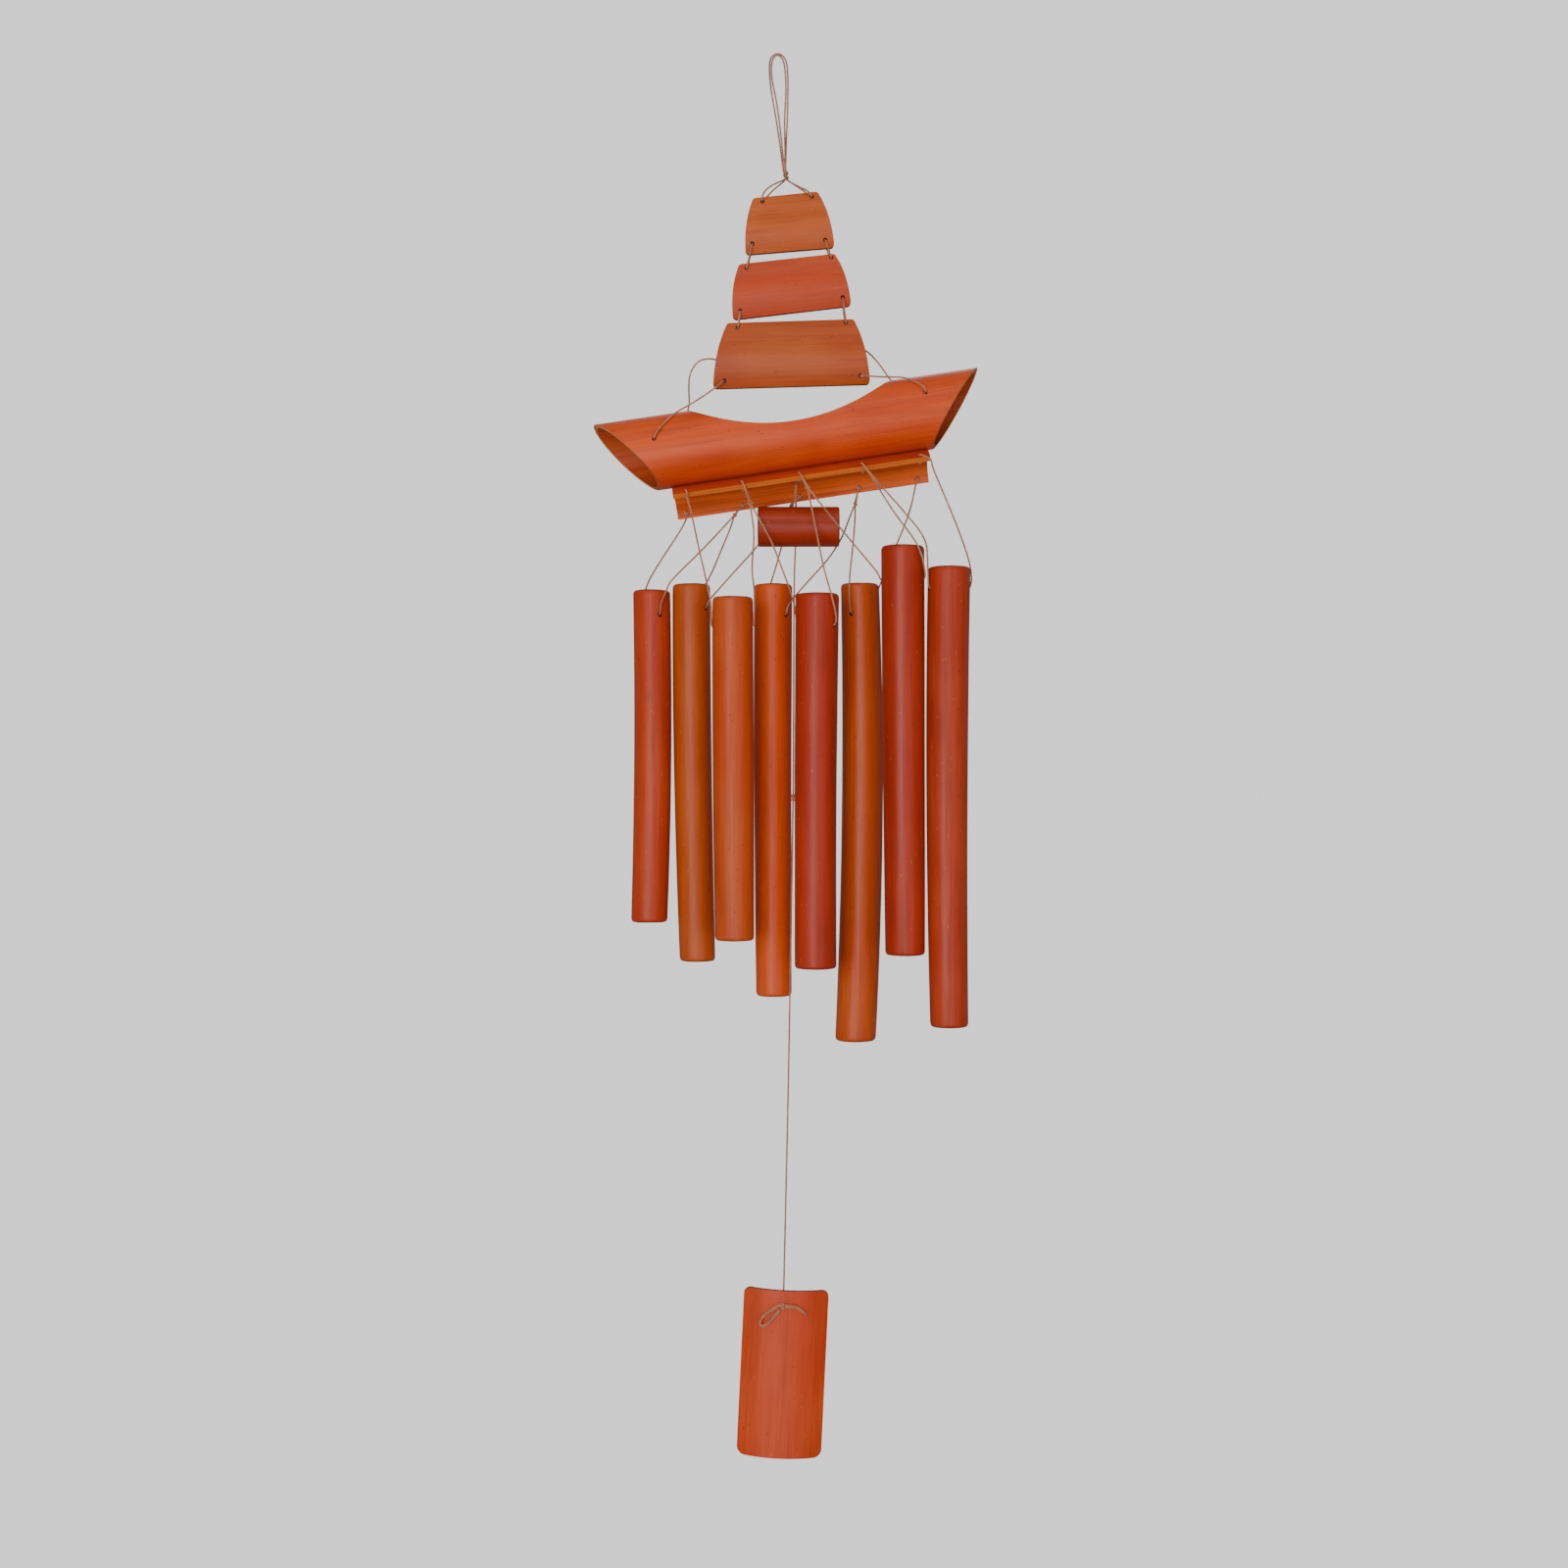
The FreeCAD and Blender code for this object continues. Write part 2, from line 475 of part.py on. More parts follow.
def make_tubes():
    for name in TUBES:
        parts[name] = tube(name)
        string = name.replace("tube", "string")
        parts[string] = cord(string, string_route(name))


# ---------------------------------------------------------------- clapper and wind catcher
CLAPPER_CORD = [(9.0, 0, -213.8), (9.5, 0.3, -219.4), (8.7, -0.2, -224.8), (9.0, 0, -229.4)]
CORD_UPPER = [(8.8, 0, -250.2), (8.3, 0, -263.0), (8.0, 0, -286.0), (7.9, 0, -331.0), (7.8, 0, -375.6)]
CORD_LOWER = [(7.6, 0, -379.6), (6.9, 0, -430.0), (5.9, 0, -486.0), (4.9, 0, -540.0), (3.7, 0, -592.0),
              (2.9, 0, -627.0)]
MID_KNOT = V(7.7, 0, -378.0)
CATCHER_CORD = [(2.9, 0, -627.6), (2.6, 0.3, -631.4), (2.1, 0.2, -635.8), (2.0, -2.6, -636.3)]
BOW_KNOT = V(2.1, -4.8, -636.6)
BOW_LOOP = [(0.9, -4.6, -635.6), (-3.6, -4.9, -638.0), (-7.6, -4.3, -641.4), (-9.6, -4.0, -644.9),
            (-8.4, -3.9, -646.8), (-5.4, -4.5, -645.2), (-2.2, -4.9, -641.6), (0.6, -4.9, -638.2)]
BOW_TAIL = [(3.4, -4.8, -636.2), (7.3, -4.6, -636.3), (10.8, -4.2, -637.4), (14.4, -3.4, -640.9)]


def clapper():
    start, end = (V(x, 0, CLAPPER_Z) for x in CLAPPER_SPAN)
    culm = cylinder(CLAPPER_RADIUS, start, end)
    culm = culm.makeFillet(TUBE_RIM, [e for e in culm.Edges if e.BoundBox.XLength < 0.01])
    culm = culm.cut(cylinder(CLAPPER_RADIUS - CLAPPER_WALL, start, end))
    above, below = (V(CLAPPER_CORD_X, 0, CLAPPER_Z + d) for d in (15, -15))
    return culm.cut(cylinder(TIE_HOLE / 2, above, below))


def catcher():
    """A wide strip split from a large culm, grain upright, bark to the front."""
    back = CATCHER_FACE + CATCHER_RADIUS
    lean = V(-math.sin(rad(CATCHER_LEAN)), 0, math.cos(rad(CATCHER_LEAN)))
    across = V(lean.z, 0, -lean.x)
    centre = V(CATCHER_CENTRE[0], 0, CATCHER_CENTRE[1])
    axis = centre + V(0, back, 0)
    start, end = axis - lean * 60, axis + lean * 60
    culm = cylinder(CATCHER_RADIUS, start, end).cut(cylinder(CATCHER_RADIUS - CATCHER_WALL, start, end))
    corners = []
    for i, j in ((-1, 1), (1, 1), (1, -1), (-1, -1)):
        corner = centre + across * (i * CATCHER_SIZE[0] / 2) + lean * (j * CATCHER_SIZE[1] / 2)
        corners.append((corner.x, corner.z))
    outline = prism(corners, -15, back)
    upright = [e for e in outline.Edges if abs(e.tangentAt(e.FirstParameter).y) > 0.99]
    strip = culm.common(outline.makeFillet(CATCHER_CORNER, upright))
    x, z = CATCHER_HOLE
    return strip.cut(cylinder(TIE_HOLE / 2, V(x, -15, z), V(x, 15, z)))


def make_clapper_and_catcher():
    parts["clapper_cord"] = cord("clapper_cord", CLAPPER_CORD)
    parts["clapper"] = clapper()
    parts["catcher_cord_upper"] = cord("catcher_cord_upper", CORD_UPPER)
    parts["catcher_cord_knot"] = bead(MID_KNOT, 1.3)
    parts["catcher_cord_lower"] = cord("catcher_cord_lower", CORD_LOWER)
    parts["catcher"] = catcher()
    parts["catcher_cord_end"] = cord("catcher_cord_end", CATCHER_CORD)
    parts["bow_knot"] = bead(BOW_KNOT, 1.2)
    parts["bow_loop"] = cord("bow_loop", BOW_LOOP)
    parts["bow_tail"] = cord("bow_tail", BOW_TAIL)


make_suspension()
make_sails()
make_hull()
make_tubes()
make_clapper_and_catcher()

os.makedirs("parts", exist_ok=True)
for node, shape in parts.items():
    shape.exportStep(f"parts/{node}.step")
    solids = len(shape.Solids)
    if solids != 1 or not shape.isValid():
        print(f"{node}: {solids} solids, valid {shape.isValid()}")
print(len(parts), "nodes")
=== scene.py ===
import bpy
import math
from mathutils import Matrix, Vector, noise


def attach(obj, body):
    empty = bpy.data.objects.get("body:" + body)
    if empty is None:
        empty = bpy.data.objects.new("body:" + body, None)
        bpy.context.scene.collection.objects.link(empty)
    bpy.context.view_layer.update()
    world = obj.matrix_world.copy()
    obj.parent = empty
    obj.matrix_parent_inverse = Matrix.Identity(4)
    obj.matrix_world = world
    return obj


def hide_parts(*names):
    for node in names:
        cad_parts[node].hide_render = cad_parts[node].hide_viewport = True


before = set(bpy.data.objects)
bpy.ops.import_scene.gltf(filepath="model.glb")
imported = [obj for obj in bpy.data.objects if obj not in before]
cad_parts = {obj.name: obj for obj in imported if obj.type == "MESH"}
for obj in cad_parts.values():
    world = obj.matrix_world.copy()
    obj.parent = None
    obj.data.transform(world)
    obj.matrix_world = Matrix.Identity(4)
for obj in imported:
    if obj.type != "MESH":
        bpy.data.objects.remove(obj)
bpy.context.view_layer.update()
MM = 0.001
SCENE = bpy.context.scene

# Twine routes, in millimetres: the points of the part's source, but for the loop's two strands, which
# follow the real loop a few millimetres away from theirs.
LOOP_INNER = [(3.4, -0.45, -58.0), (2.4, -0.45, -50.0), (1.0, -0.45, -36.0), (-0.9, -0.45, -22.0),
              (-3.5, -0.45, -11.0), (-3.4, -0.45, -1.6), (-0.2, -0.45, 1.4), (2.9, -0.45, -1.6),
              (3.9, -0.45, -10.0), (4.0, -0.45, -20.0), (3.2, -0.45, -33.0), (3.5, -0.45, -46.0),
              (3.7, -0.45, -58.2)]
LOOP_OUTER = [(2.7, 0.45, -58.4), (1.6, 0.45, -50.0), (0.0, 0.45, -38.0), (-2.4, 0.45, -23.5),
              (-4.3, 0.45, -12.5), (-4.6, 0.45, -0.6), (-0.2, 0.45, 2.5), (4.2, 0.45, -0.6),
              (5.1, 0.45, -10.0), (5.0, 0.45, -20.0), (4.7, 0.45, -33.0), (4.0, 0.45, -46.0),
              (3.9, 0.45, -58.2)]
BRIDLE_LEFT = [(2.6, -0.6, -63.2), (-2.3, -1.4, -65.4), (-6.0, -2.2, -68.2), (-7.9, -2.6, -71.0),
               (-8.3, -2.7, -74.1), (-8.0, 0.8, -74.5), (-7.7, 4.3, -73.4), (-6.6, 4.8, -71.0),
               (-2.6, 3.0, -67.0), (2.9, 0.6, -63.6)]
BRIDLE_RIGHT = [(5.0, -0.6, -63.4), (10.6, -1.6, -66.8), (14.9, -2.4, -68.8), (17.1, -2.7, -71.6),
                (17.2, 0.8, -72.0), (17.0, 4.3, -70.9), (15.2, 4.7, -68.5), (10.8, 2.8, -66.0),
                (5.3, 0.7, -63.2)]
TIE_LEFT = [(-61.8, -0.8, -198.7), (-62.2, -19.6, -198.1), (-61.4, -19.9, -196.2), (-59.8, -18.6, -193.2),
            (-55.2, -14.8, -187.4), (-50.4, -8.8, -182.2), (-44.4, -4.4, -178.2), (-31.4, -3.2, -169.3),
            (-27.9, -2.7, -165.8), (-27.3, 0.8, -165.5), (-27.6, 4.4, -163.6), (-29.0, 4.6, -158.0),
            (-31.2, 4.2, -153.6), (-36.0, 4.0, -153.0), (-41.3, 4.6, -154.2), (-45.6, 6.0, -160.4),
            (-46.0, 7.8, -168.6), (-45.6, 9.2, -175.6), (-47.6, 10.6, -182.2), (-53.6, 15.8, -189.4),
            (-59.8, 19.0, -194.4), (-62.0, 19.9, -196.6), (-62.2, 19.2, -198.0), (-61.8, 0.8, -198.7)]
TIE_RIGHT = [(73.8, -0.8, -175.5), (74.1, -18.6, -174.8), (73.7, -18.9, -172.9), (72.1, -17.8, -171.0),
             (68.3, -13.8, -168.0), (63.3, -7.6, -164.9), (55.6, -4.0, -164.2), (47.2, -3.0, -163.6),
             (42.4, -2.7, -163.0), (41.8, 0.8, -162.9), (41.5, 4.4, -161.0), (41.7, 4.9, -153.6),
             (43.4, 5.0, -147.6), (48.4, 5.6, -151.4), (53.4, 6.8, -157.2), (57.6, 9.0, -163.0),
             (62.8, 12.4, -167.2), (69.6, 17.2, -171.6), (73.6, 19.2, -173.4), (74.1, 18.2, -174.8),
             (73.8, 0.8, -175.5)]
FRONT_TIES = [(-46.0, -14.0, -225.8), (-14.1, -14.0, -229.6), (14.8, -14.0, -221.8),
              (48.7, -14.0, -218.0), (77.5, -14.0, -210.3)]
REAR_TIES = [(-48.0, 17.9, -233.8), (-22.6, 13.4, -232.1), (7.0, 13.4, -226.6),
             (39.9, 13.4, -226.1), (71.8, 17.9, -213.6)]
STRINGS = {
    "tube_1": (-1, [(-48.6, 18.2, -235.4), (-51.6, 18.6, -240.6), (-62.4, 20.6, -256.4),
                    (-69.6, 23.0, -268.4), (-70.6, 23.6, -279.4)],
               [(-60.4, 4.4, -279.0), (-57.2, 6.0, -271.4), (-55.6, 8.0, -266.6), (-38.6, 12.0, -249.6),
                (-24.8, 13.4, -234.4)]),
    "tube_2": (-1, [(-23.4, 13.4, -234.6), (-25.0, 13.6, -239.4), (-29.3, 15.4, -249.4),
                    (-36.0, 19.6, -264.6), (-41.6, 24.6, -271.6), (-49.4, 24.4, -277.6)],
               [(-35.6, 8.0, -276.6), (-33.2, 9.4, -273.6), (-22.8, 11.4, -261.6), (-10.6, 12.8, -248.2),
                (5.2, 13.4, -228.6)]),
    "tube_3": (-1, [(-45.6, -14.0, -227.6), (-43.8, -14.1, -233.4), (-39.6, -14.2, -253.6),
                    (-35.6, -13.6, -270.6), (-33.7, -12.2, -280.4), (-33.6, -11.8, -289.0)],
               [(-12.2, -16.6, -288.4), (-11.8, -15.2, -281.4), (-11.9, -14.4, -272.6),
                (-13.4, -14.2, -262.4), (-11.7, -14.0, -245.4), (-13.8, -14.0, -232.0)]),
    "tube_4": (-1, [(6.5, 13.4, -229.0), (1.6, 14.6, -249.0), (-3.6, 24.2, -265.6), (-8.2, 23.6, -277.4)],
               [(4.8, 5.2, -280.0), (8.6, 8.6, -274.6), (11.8, 11.0, -270.4), (31.0, 13.0, -249.3),
                (38.6, 13.4, -228.6)]),
    "tube_5": (-1, [(-12.8, -14.0, -231.8), (-9.4, -14.0, -237.9), (-3.6, -14.0, -248.0),
                    (2.2, -13.8, -263.0), (7.9, -12.2, -278.4), (9.2, -9.2, -287.4)],
               [(29.2, -21.8, -287.4), (26.6, -23.6, -276.4), (22.8, -22.4, -263.6), (19.2, -14.4, -243.4),
                (15.3, -14.0, -224.3)]),
    "tube_6": (1, [(39.8, 13.4, -228.8), (39.6, 12.8, -236.4), (38.3, 9.2, -250.6), (36.4, 4.4, -266.4),
                   (36.5, 3.6, -278.8)],
               [(48.8, 23.8, -278.6), (52.0, 22.6, -269.6), (61.3, 19.4, -247.2), (68.6, 18.2, -229.4),
                (71.4, 18.2, -215.6)]),
    "tube_7": (-1, [(16.5, -14.0, -223.6), (22.3, -13.9, -231.2), (34.2, -13.6, -245.6),
                    (45.2, -12.8, -258.6), (50.6, -11.4, -264.8)],
               [(73.6, -19.4, -264.4), (71.8, -22.5, -256.8), (68.0, -24.4, -249.0), (58.6, -16.6, -235.4),
                (49.6, -14.3, -220.6)]),
    "tube_8": (-1, [(50.6, -13.7, -219.6), (62.4, -13.4, -232.6), (74.6, -15.4, -247.6),
                    (75.0, -17.6, -259.4), (75.2, -18.8, -268.4)],
               [(98.0, -10.4, -267.6), (96.4, -12.4, -258.4), (90.8, -14.0, -243.0), (84.4, -14.0, -227.4),
                (77.8, -14.0, -212.0)]),
}
CLAPPER_CORD = [(9.0, 0, -213.8), (9.5, 0.3, -219.4), (8.7, -0.2, -224.8), (9.0, 0, -229.4)]
CORD_UPPER = [(8.8, 0, -250.2), (8.3, 0, -263.0), (8.0, 0, -286.0), (7.9, 0, -331.0), (7.8, 0, -375.6)]
CORD_LOWER = [(7.6, 0, -379.6), (6.9, 0, -430.0), (5.9, 0, -486.0), (4.9, 0, -540.0), (3.7, 0, -592.0),
              (2.9, 0, -627.0)]
CATCHER_CORD = [(2.9, 0, -627.6), (2.6, 0.3, -631.4), (2.1, 0.2, -635.8), (2.0, -2.6, -636.3)]
BOW_LOOP = [(0.9, -4.6, -635.6), (-3.6, -4.9, -638.0), (-7.6, -4.3, -641.4), (-9.6, -4.0, -644.9),
            (-8.4, -3.9, -646.8), (-5.4, -4.5, -645.2), (-2.2, -4.9, -641.6), (0.6, -4.9, -638.2)]
BOW_TAIL = [(3.4, -4.8, -636.2), (7.3, -4.6, -636.3), (10.8, -4.2, -637.4), (14.4, -3.4, -640.9)]

# Millimetres across a twine and a tube's string holes, and a twine's twist: how many plies, how round each
# is, and in how many diameters it turns once.
TWINE = 1.0
STRING_HOLE = 2.5
PLIES, PLY_SIDES, TWIST_PITCH = 3, 7, 4.4
# The rounding that sanding leaves on a tube's rims: how far in and how far along outside, and inside.
RIM_INSET, RIM_HEIGHT = 1.5, 2.1
BORE_RIM = 0.6
# Times as deep in red, green and blue as a bare tone.
STAIN_DEPTH = (0.98, 0.73, 0.36)
BACKDROP_STRENGTH = 1.2


# ---------------------------------------------------------------- node helpers
def material(name):
    mat = bpy.data.materials.new(name)
    mat.use_nodes = True
    mat.node_tree.nodes.clear()
    return mat


def add(tree, kind, values=None, **settings):
    """A node with its settings, and its inputs: constants are set, sockets are linked."""
    node = tree.nodes.new(kind)
    for key, value in settings.items():
        setattr(node, key, value)
    for key, value in (values or {}).items():
        if isinstance(value, bpy.types.NodeSocket):
            tree.links.new(value, node.inputs[key])
        else:
            node.inputs[key].default_value = value
    return node


def maths(tree, operation, a, b=None, c=None):
    values = {0: a}
    if b is not None:
        values[1] = b
    if c is not None:
        values[2] = c
    return add(tree, "ShaderNodeMath", values, operation=operation).outputs[0]


def span(tree, value, low, high, start=0.0, end=1.0):
    """value eased from start to end between low and high."""
    values = {"Value": value, "From Min": low, "From Max": high, "To Min": start, "To Max": end}
    return add(tree, "ShaderNodeMapRange", values, interpolation_type="SMOOTHSTEP").outputs["Result"]


def mix(tree, factor, a, b, blend="MIX"):
    node = add(tree, "ShaderNodeMix", data_type="RGBA", blend_type=blend)
    for key, value in ((0, factor), (6, a), (7, b)):
        if isinstance(value, bpy.types.NodeSocket):
            tree.links.new(value, node.inputs[key])
        else:
            node.inputs[key].default_value = value
    return node.outputs[2]


def streaks(tree, vector, scale, stretch, detail=4.0, rough=0.6):
    """Noise drawn out along the grain, which is the vector's Z."""
    squeezed = add(tree, "ShaderNodeMapping", {"Vector": vector, "Scale": (scale, scale, scale / stretch)})
    values = {"Vector": squeezed.outputs[0], "Scale": 1.0, "Detail": detail, "Roughness": rough}
    return add(tree, "ShaderNodeTexNoise", values).outputs["Fac"]


def srgb(r, g, b):
    tones = [c / 255 / 12.92 if c < 10 else ((c / 255 + 0.055) / 1.055) ** 2.4 for c in (r, g, b)]
    return (*tones, 1.0)


def stain(tone):
    """A tone of stained bamboo, deepened so that it stays saturated under the studio's light."""
    red, green, blue, _ = srgb(*tone)
    return (red * STAIN_DEPTH[0], green * STAIN_DEPTH[1], blue * STAIN_DEPTH[2], 1.0)


# ---------------------------------------------------------------- materials
def bamboo(name, tone, warm, deep, origin, along, edge, inner=(128, 52, 26), rim=(84, 30, 20),
           blotch=0.0, rough=0.40, seed=0.0):
    """Varnished bamboo: bark outside, split edges, pith inside. An inner tone may be given lighter than the
    pith's own, a painted fill light, as the hanger's is. origin and along are the culm's axis.
    """
    mat = material(name)
    tree = mat.node_tree
    coords = add(tree, "ShaderNodeTexCoord")
    turn = Vector(along).normalized().rotation_difference(Vector((0, 0, 1)))
    shift = turn @ (Vector(origin) * -MM)
    spin = tuple(turn.to_euler())
    culm = add(tree, "ShaderNodeMapping",
               {"Vector": coords.outputs["Object"], "Rotation": spin, "Location": tuple(shift)}).outputs[0]
    normal = add(tree, "ShaderNodeMapping", {"Vector": coords.outputs["Normal"], "Rotation": spin},
                 vector_type="VECTOR").outputs[0]
    flat = add(tree, "ShaderNodeVectorMath", {0: culm, 1: (1.0, 1.0, 0.0)}, operation="MULTIPLY").outputs[0]
    outward = add(tree, "ShaderNodeVectorMath", {0: flat}, operation="NORMALIZE").outputs[0]
    facing = add(tree, "ShaderNodeVectorMath", {0: outward, 1: normal}, operation="DOT_PRODUCT")
    facing = facing.outputs["Value"]
    bark = span(tree, facing, 0.55, 0.9)
    near_bark = span(tree, facing, 0.05, 0.6)
    inside = span(tree, facing, -0.4, -0.8)

    drift = (seed, seed * 0.7, seed * 1.3)
    grain = add(tree, "ShaderNodeVectorMath", {0: culm, 1: drift}, operation="ADD").outputs[0]
    broad = streaks(tree, grain, 90.0, 7.0, 3.0)
    bands = streaks(tree, grain, 420.0, 40.0, 3.0)
    fibres = streaks(tree, grain, 2400.0, 90.0, 4.0, 0.7)
    clouds = streaks(tree, grain, 24.0, 1.6, 2.0)
    colour = mix(tree, span(tree, clouds, 0.36, 0.66), stain(tone), stain(warm))
    colour = mix(tree, span(tree, broad, 0.42, 0.72, 0.0, 0.42), colour, stain(deep))
    colour = mix(tree, span(tree, bands, 0.5, 0.72, 0.0, 0.28), colour, stain(deep))
    light = tuple(min(c + 22, 255) for c in warm)
    colour = mix(tree, span(tree, fibres, 0.5, 0.75, 0.0, 0.34), colour, stain(light))
    colour = mix(tree, span(tree, fibres, 0.5, 0.3, 0.0, 0.30), colour, stain(deep))

    flecks = add(tree, "ShaderNodeMapping", {"Vector": grain, "Scale": (760.0, 760.0, 380.0)}).outputs[0]
    cells = add(tree, "ShaderNodeTexVoronoi", {"Vector": flecks, "Scale": 1.0, "Randomness": 1.0})
    pick = add(tree, "ShaderNodeSeparateColor", {"Color": cells.outputs["Color"]})
    size = span(tree, pick.outputs[0], 0.86, 1.0, 0.0, 0.30)
    fleck = maths(tree, "LESS_THAN", cells.outputs["Distance"], size)
    pale = maths(tree, "MULTIPLY", fleck, maths(tree, "GREATER_THAN", pick.outputs[1], 0.55))
    dark = maths(tree, "MULTIPLY", fleck, maths(tree, "LESS_THAN", pick.outputs[1], 0.45))
    colour = mix(tree, maths(tree, "MULTIPLY", pale, 0.30), colour, stain((216, 140, 88)))
    colour = mix(tree, maths(tree, "MULTIPLY", dark, 0.45), colour, stain((92, 30, 20)))
    if blotch:
        blotches = streaks(tree, grain, 130.0, 2.2, 5.0, 0.65)
        colour = mix(tree, span(tree, blotches, 0.60, 0.74, 0.0, blotch), colour, srgb(98, 52, 46))

    dots = add(tree, "ShaderNodeTexVoronoi", {"Vector": grain, "Scale": 1500.0, "Randomness": 0.9})
    pores = span(tree, dots.outputs["Distance"], 0.15, 0.4, 0.45, 0.0)
    end_grain = mix(tree, pores, stain(edge), stain(deep))
    end_grain = mix(tree, span(tree, fibres, 0.45, 0.65, 0.0, 0.5), end_grain, stain(deep))
    # The inner wall's tone. For the hanger it is painted lighter than its pith, painted fill light on a wall
    # that lies in shade.
    pith = mix(tree, span(tree, bands, 0.4, 0.7, 0.0, 0.5), stain(inner), stain(deep))
    cut = mix(tree, near_bark, end_grain, stain(rim))
    surface = mix(tree, inside, cut, pith)
    colour = mix(tree, bark, surface, colour)

    height = maths(tree, "ADD", maths(tree, "MULTIPLY", fibres, 0.6), maths(tree, "MULTIPLY", bands, 0.5))
    height = maths(tree, "SUBTRACT", height, maths(tree, "MULTIPLY", dark, 0.5))
    bump = add(tree, "ShaderNodeBump", {"Height": height, "Strength": 0.35, "Distance": 0.00012}).outputs[0]
    gloss = span(tree, bands, 0.3, 0.7, rough - 0.05, rough + 0.09)
    gloss = maths(tree, "ADD", gloss, maths(tree, "MULTIPLY", maths(tree, "SUBTRACT", 1.0, bark), 0.2))
    shader = add(tree, "ShaderNodeBsdfPrincipled",
                 {"Base Color": colour, "Roughness": gloss, "Normal": bump, "Coat Weight": 0.05,
                  "Coat Roughness": 0.38, "Specular IOR Level": 0.24})
    output = add(tree, "ShaderNodeOutputMaterial")
    tree.links.new(shader.outputs[0], output.inputs[0])
    return mat


def twine_material(name, tone, deep):
    """Waxed twine: fine fibres and a faint sheen, darker where dye has gathered."""
    mat = material(name)
    tree = mat.node_tree
    coords = add(tree, "ShaderNodeTexCoord").outputs["Object"]
    values = {"Vector": coords, "Detail": 3.0}
    patches = add(tree, "ShaderNodeTexNoise", {**values, "Scale": 110.0}).outputs["Fac"]
    fuzz = add(tree, "ShaderNodeTexNoise", {**values, "Scale": 3800.0}).outputs["Fac"]
    colour = mix(tree, span(tree, patches, 0.38, 0.66), srgb(*tone), srgb(*deep))
    colour = mix(tree, span(tree, fuzz, 0.35, 0.7, 0.0, 0.5), colour, srgb(212, 158, 124))
    bump = add(tree, "ShaderNodeBump", {"Height": fuzz, "Strength": 0.5, "Distance": 0.00008}).outputs[0]
    shader = add(tree, "ShaderNodeBsdfPrincipled",
                 {"Base Color": colour, "Roughness": 0.62, "Normal": bump, "Sheen Weight": 0.25,
                  "Sheen Roughness": 0.4})
    output = add(tree, "ShaderNodeOutputMaterial")
    tree.links.new(shader.outputs[0], output.inputs[0])
    return mat


# ---------------------------------------------------------------- mesh helpers
def link_object(name, mesh, mat, body):
    obj = bpy.data.objects.new(name, mesh)
    SCENE.collection.objects.link(obj)
    mesh.materials.clear()
    mesh.materials.append(mat)
    for face in mesh.polygons:
        face.use_smooth = True
    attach(obj, body)
    return obj


def smooth_path(points, closed=False):
    """The points, in metres, of the NURBS line that these millimetre points control."""
    data = bpy.data.curves.new("route", "CURVE")
    data.dimensions = "3D"
    data.resolution_u = 24
    spline = data.splines.new("NURBS")
    spline.points.add(len(points) - 1)
    for point, place in zip(spline.points, points):
        point.co = (place[0] * MM, place[1] * MM, place[2] * MM, 1.0)
    spline.order_u = 3
    if closed:
        spline.use_cyclic_u = True
    else:
        spline.use_endpoint_u = True
    obj = bpy.data.objects.new("route", data)
    SCENE.collection.objects.link(obj)
    evaluated = obj.evaluated_get(bpy.context.evaluated_depsgraph_get())
    mesh = bpy.data.meshes.new_from_object(evaluated)
    line = [v.co.copy() for v in mesh.vertices]
    bpy.data.objects.remove(obj)
    bpy.data.curves.remove(data)
    bpy.data.meshes.remove(mesh)
    if closed:
        line.append(line[0].copy())
    return line


def even_steps(line, step):
    """The line walked in equal steps of about that length."""
    lengths = [0.0]
    for a, b in zip(line, line[1:]):
        lengths.append(lengths[-1] + (b - a).length)
    count = max(int(lengths[-1] / step), 2)
    out, i = [], 0
    for k in range(count + 1):
        at = lengths[-1] * k / count
        while i < len(line) - 2 and lengths[i + 1] < at:
            i += 1
        share = (at - lengths[i]) / max(lengths[i + 1] - lengths[i], 1e-9)
        out.append(line[i].lerp(line[i + 1], share))
    return out


def frames_along(line, closed=False):
    """A direction and two cross directions at each point, turning as little as they can."""
    count = len(line)
    out, side = [], None
    for i in range(count):
        before, after = line[max(i - 1, 0)], line[min(i + 1, count - 1)]
        if closed and i in (0, count - 1):
            before, after = line[count - 2], line[1]
        ahead = (after - before).normalized()
        if side is None:
            side = ahead.orthogonal().normalized()
        side = (side - ahead * side.dot(ahead)).normalized()
        out.append((ahead, side, ahead.cross(side)))
    return out


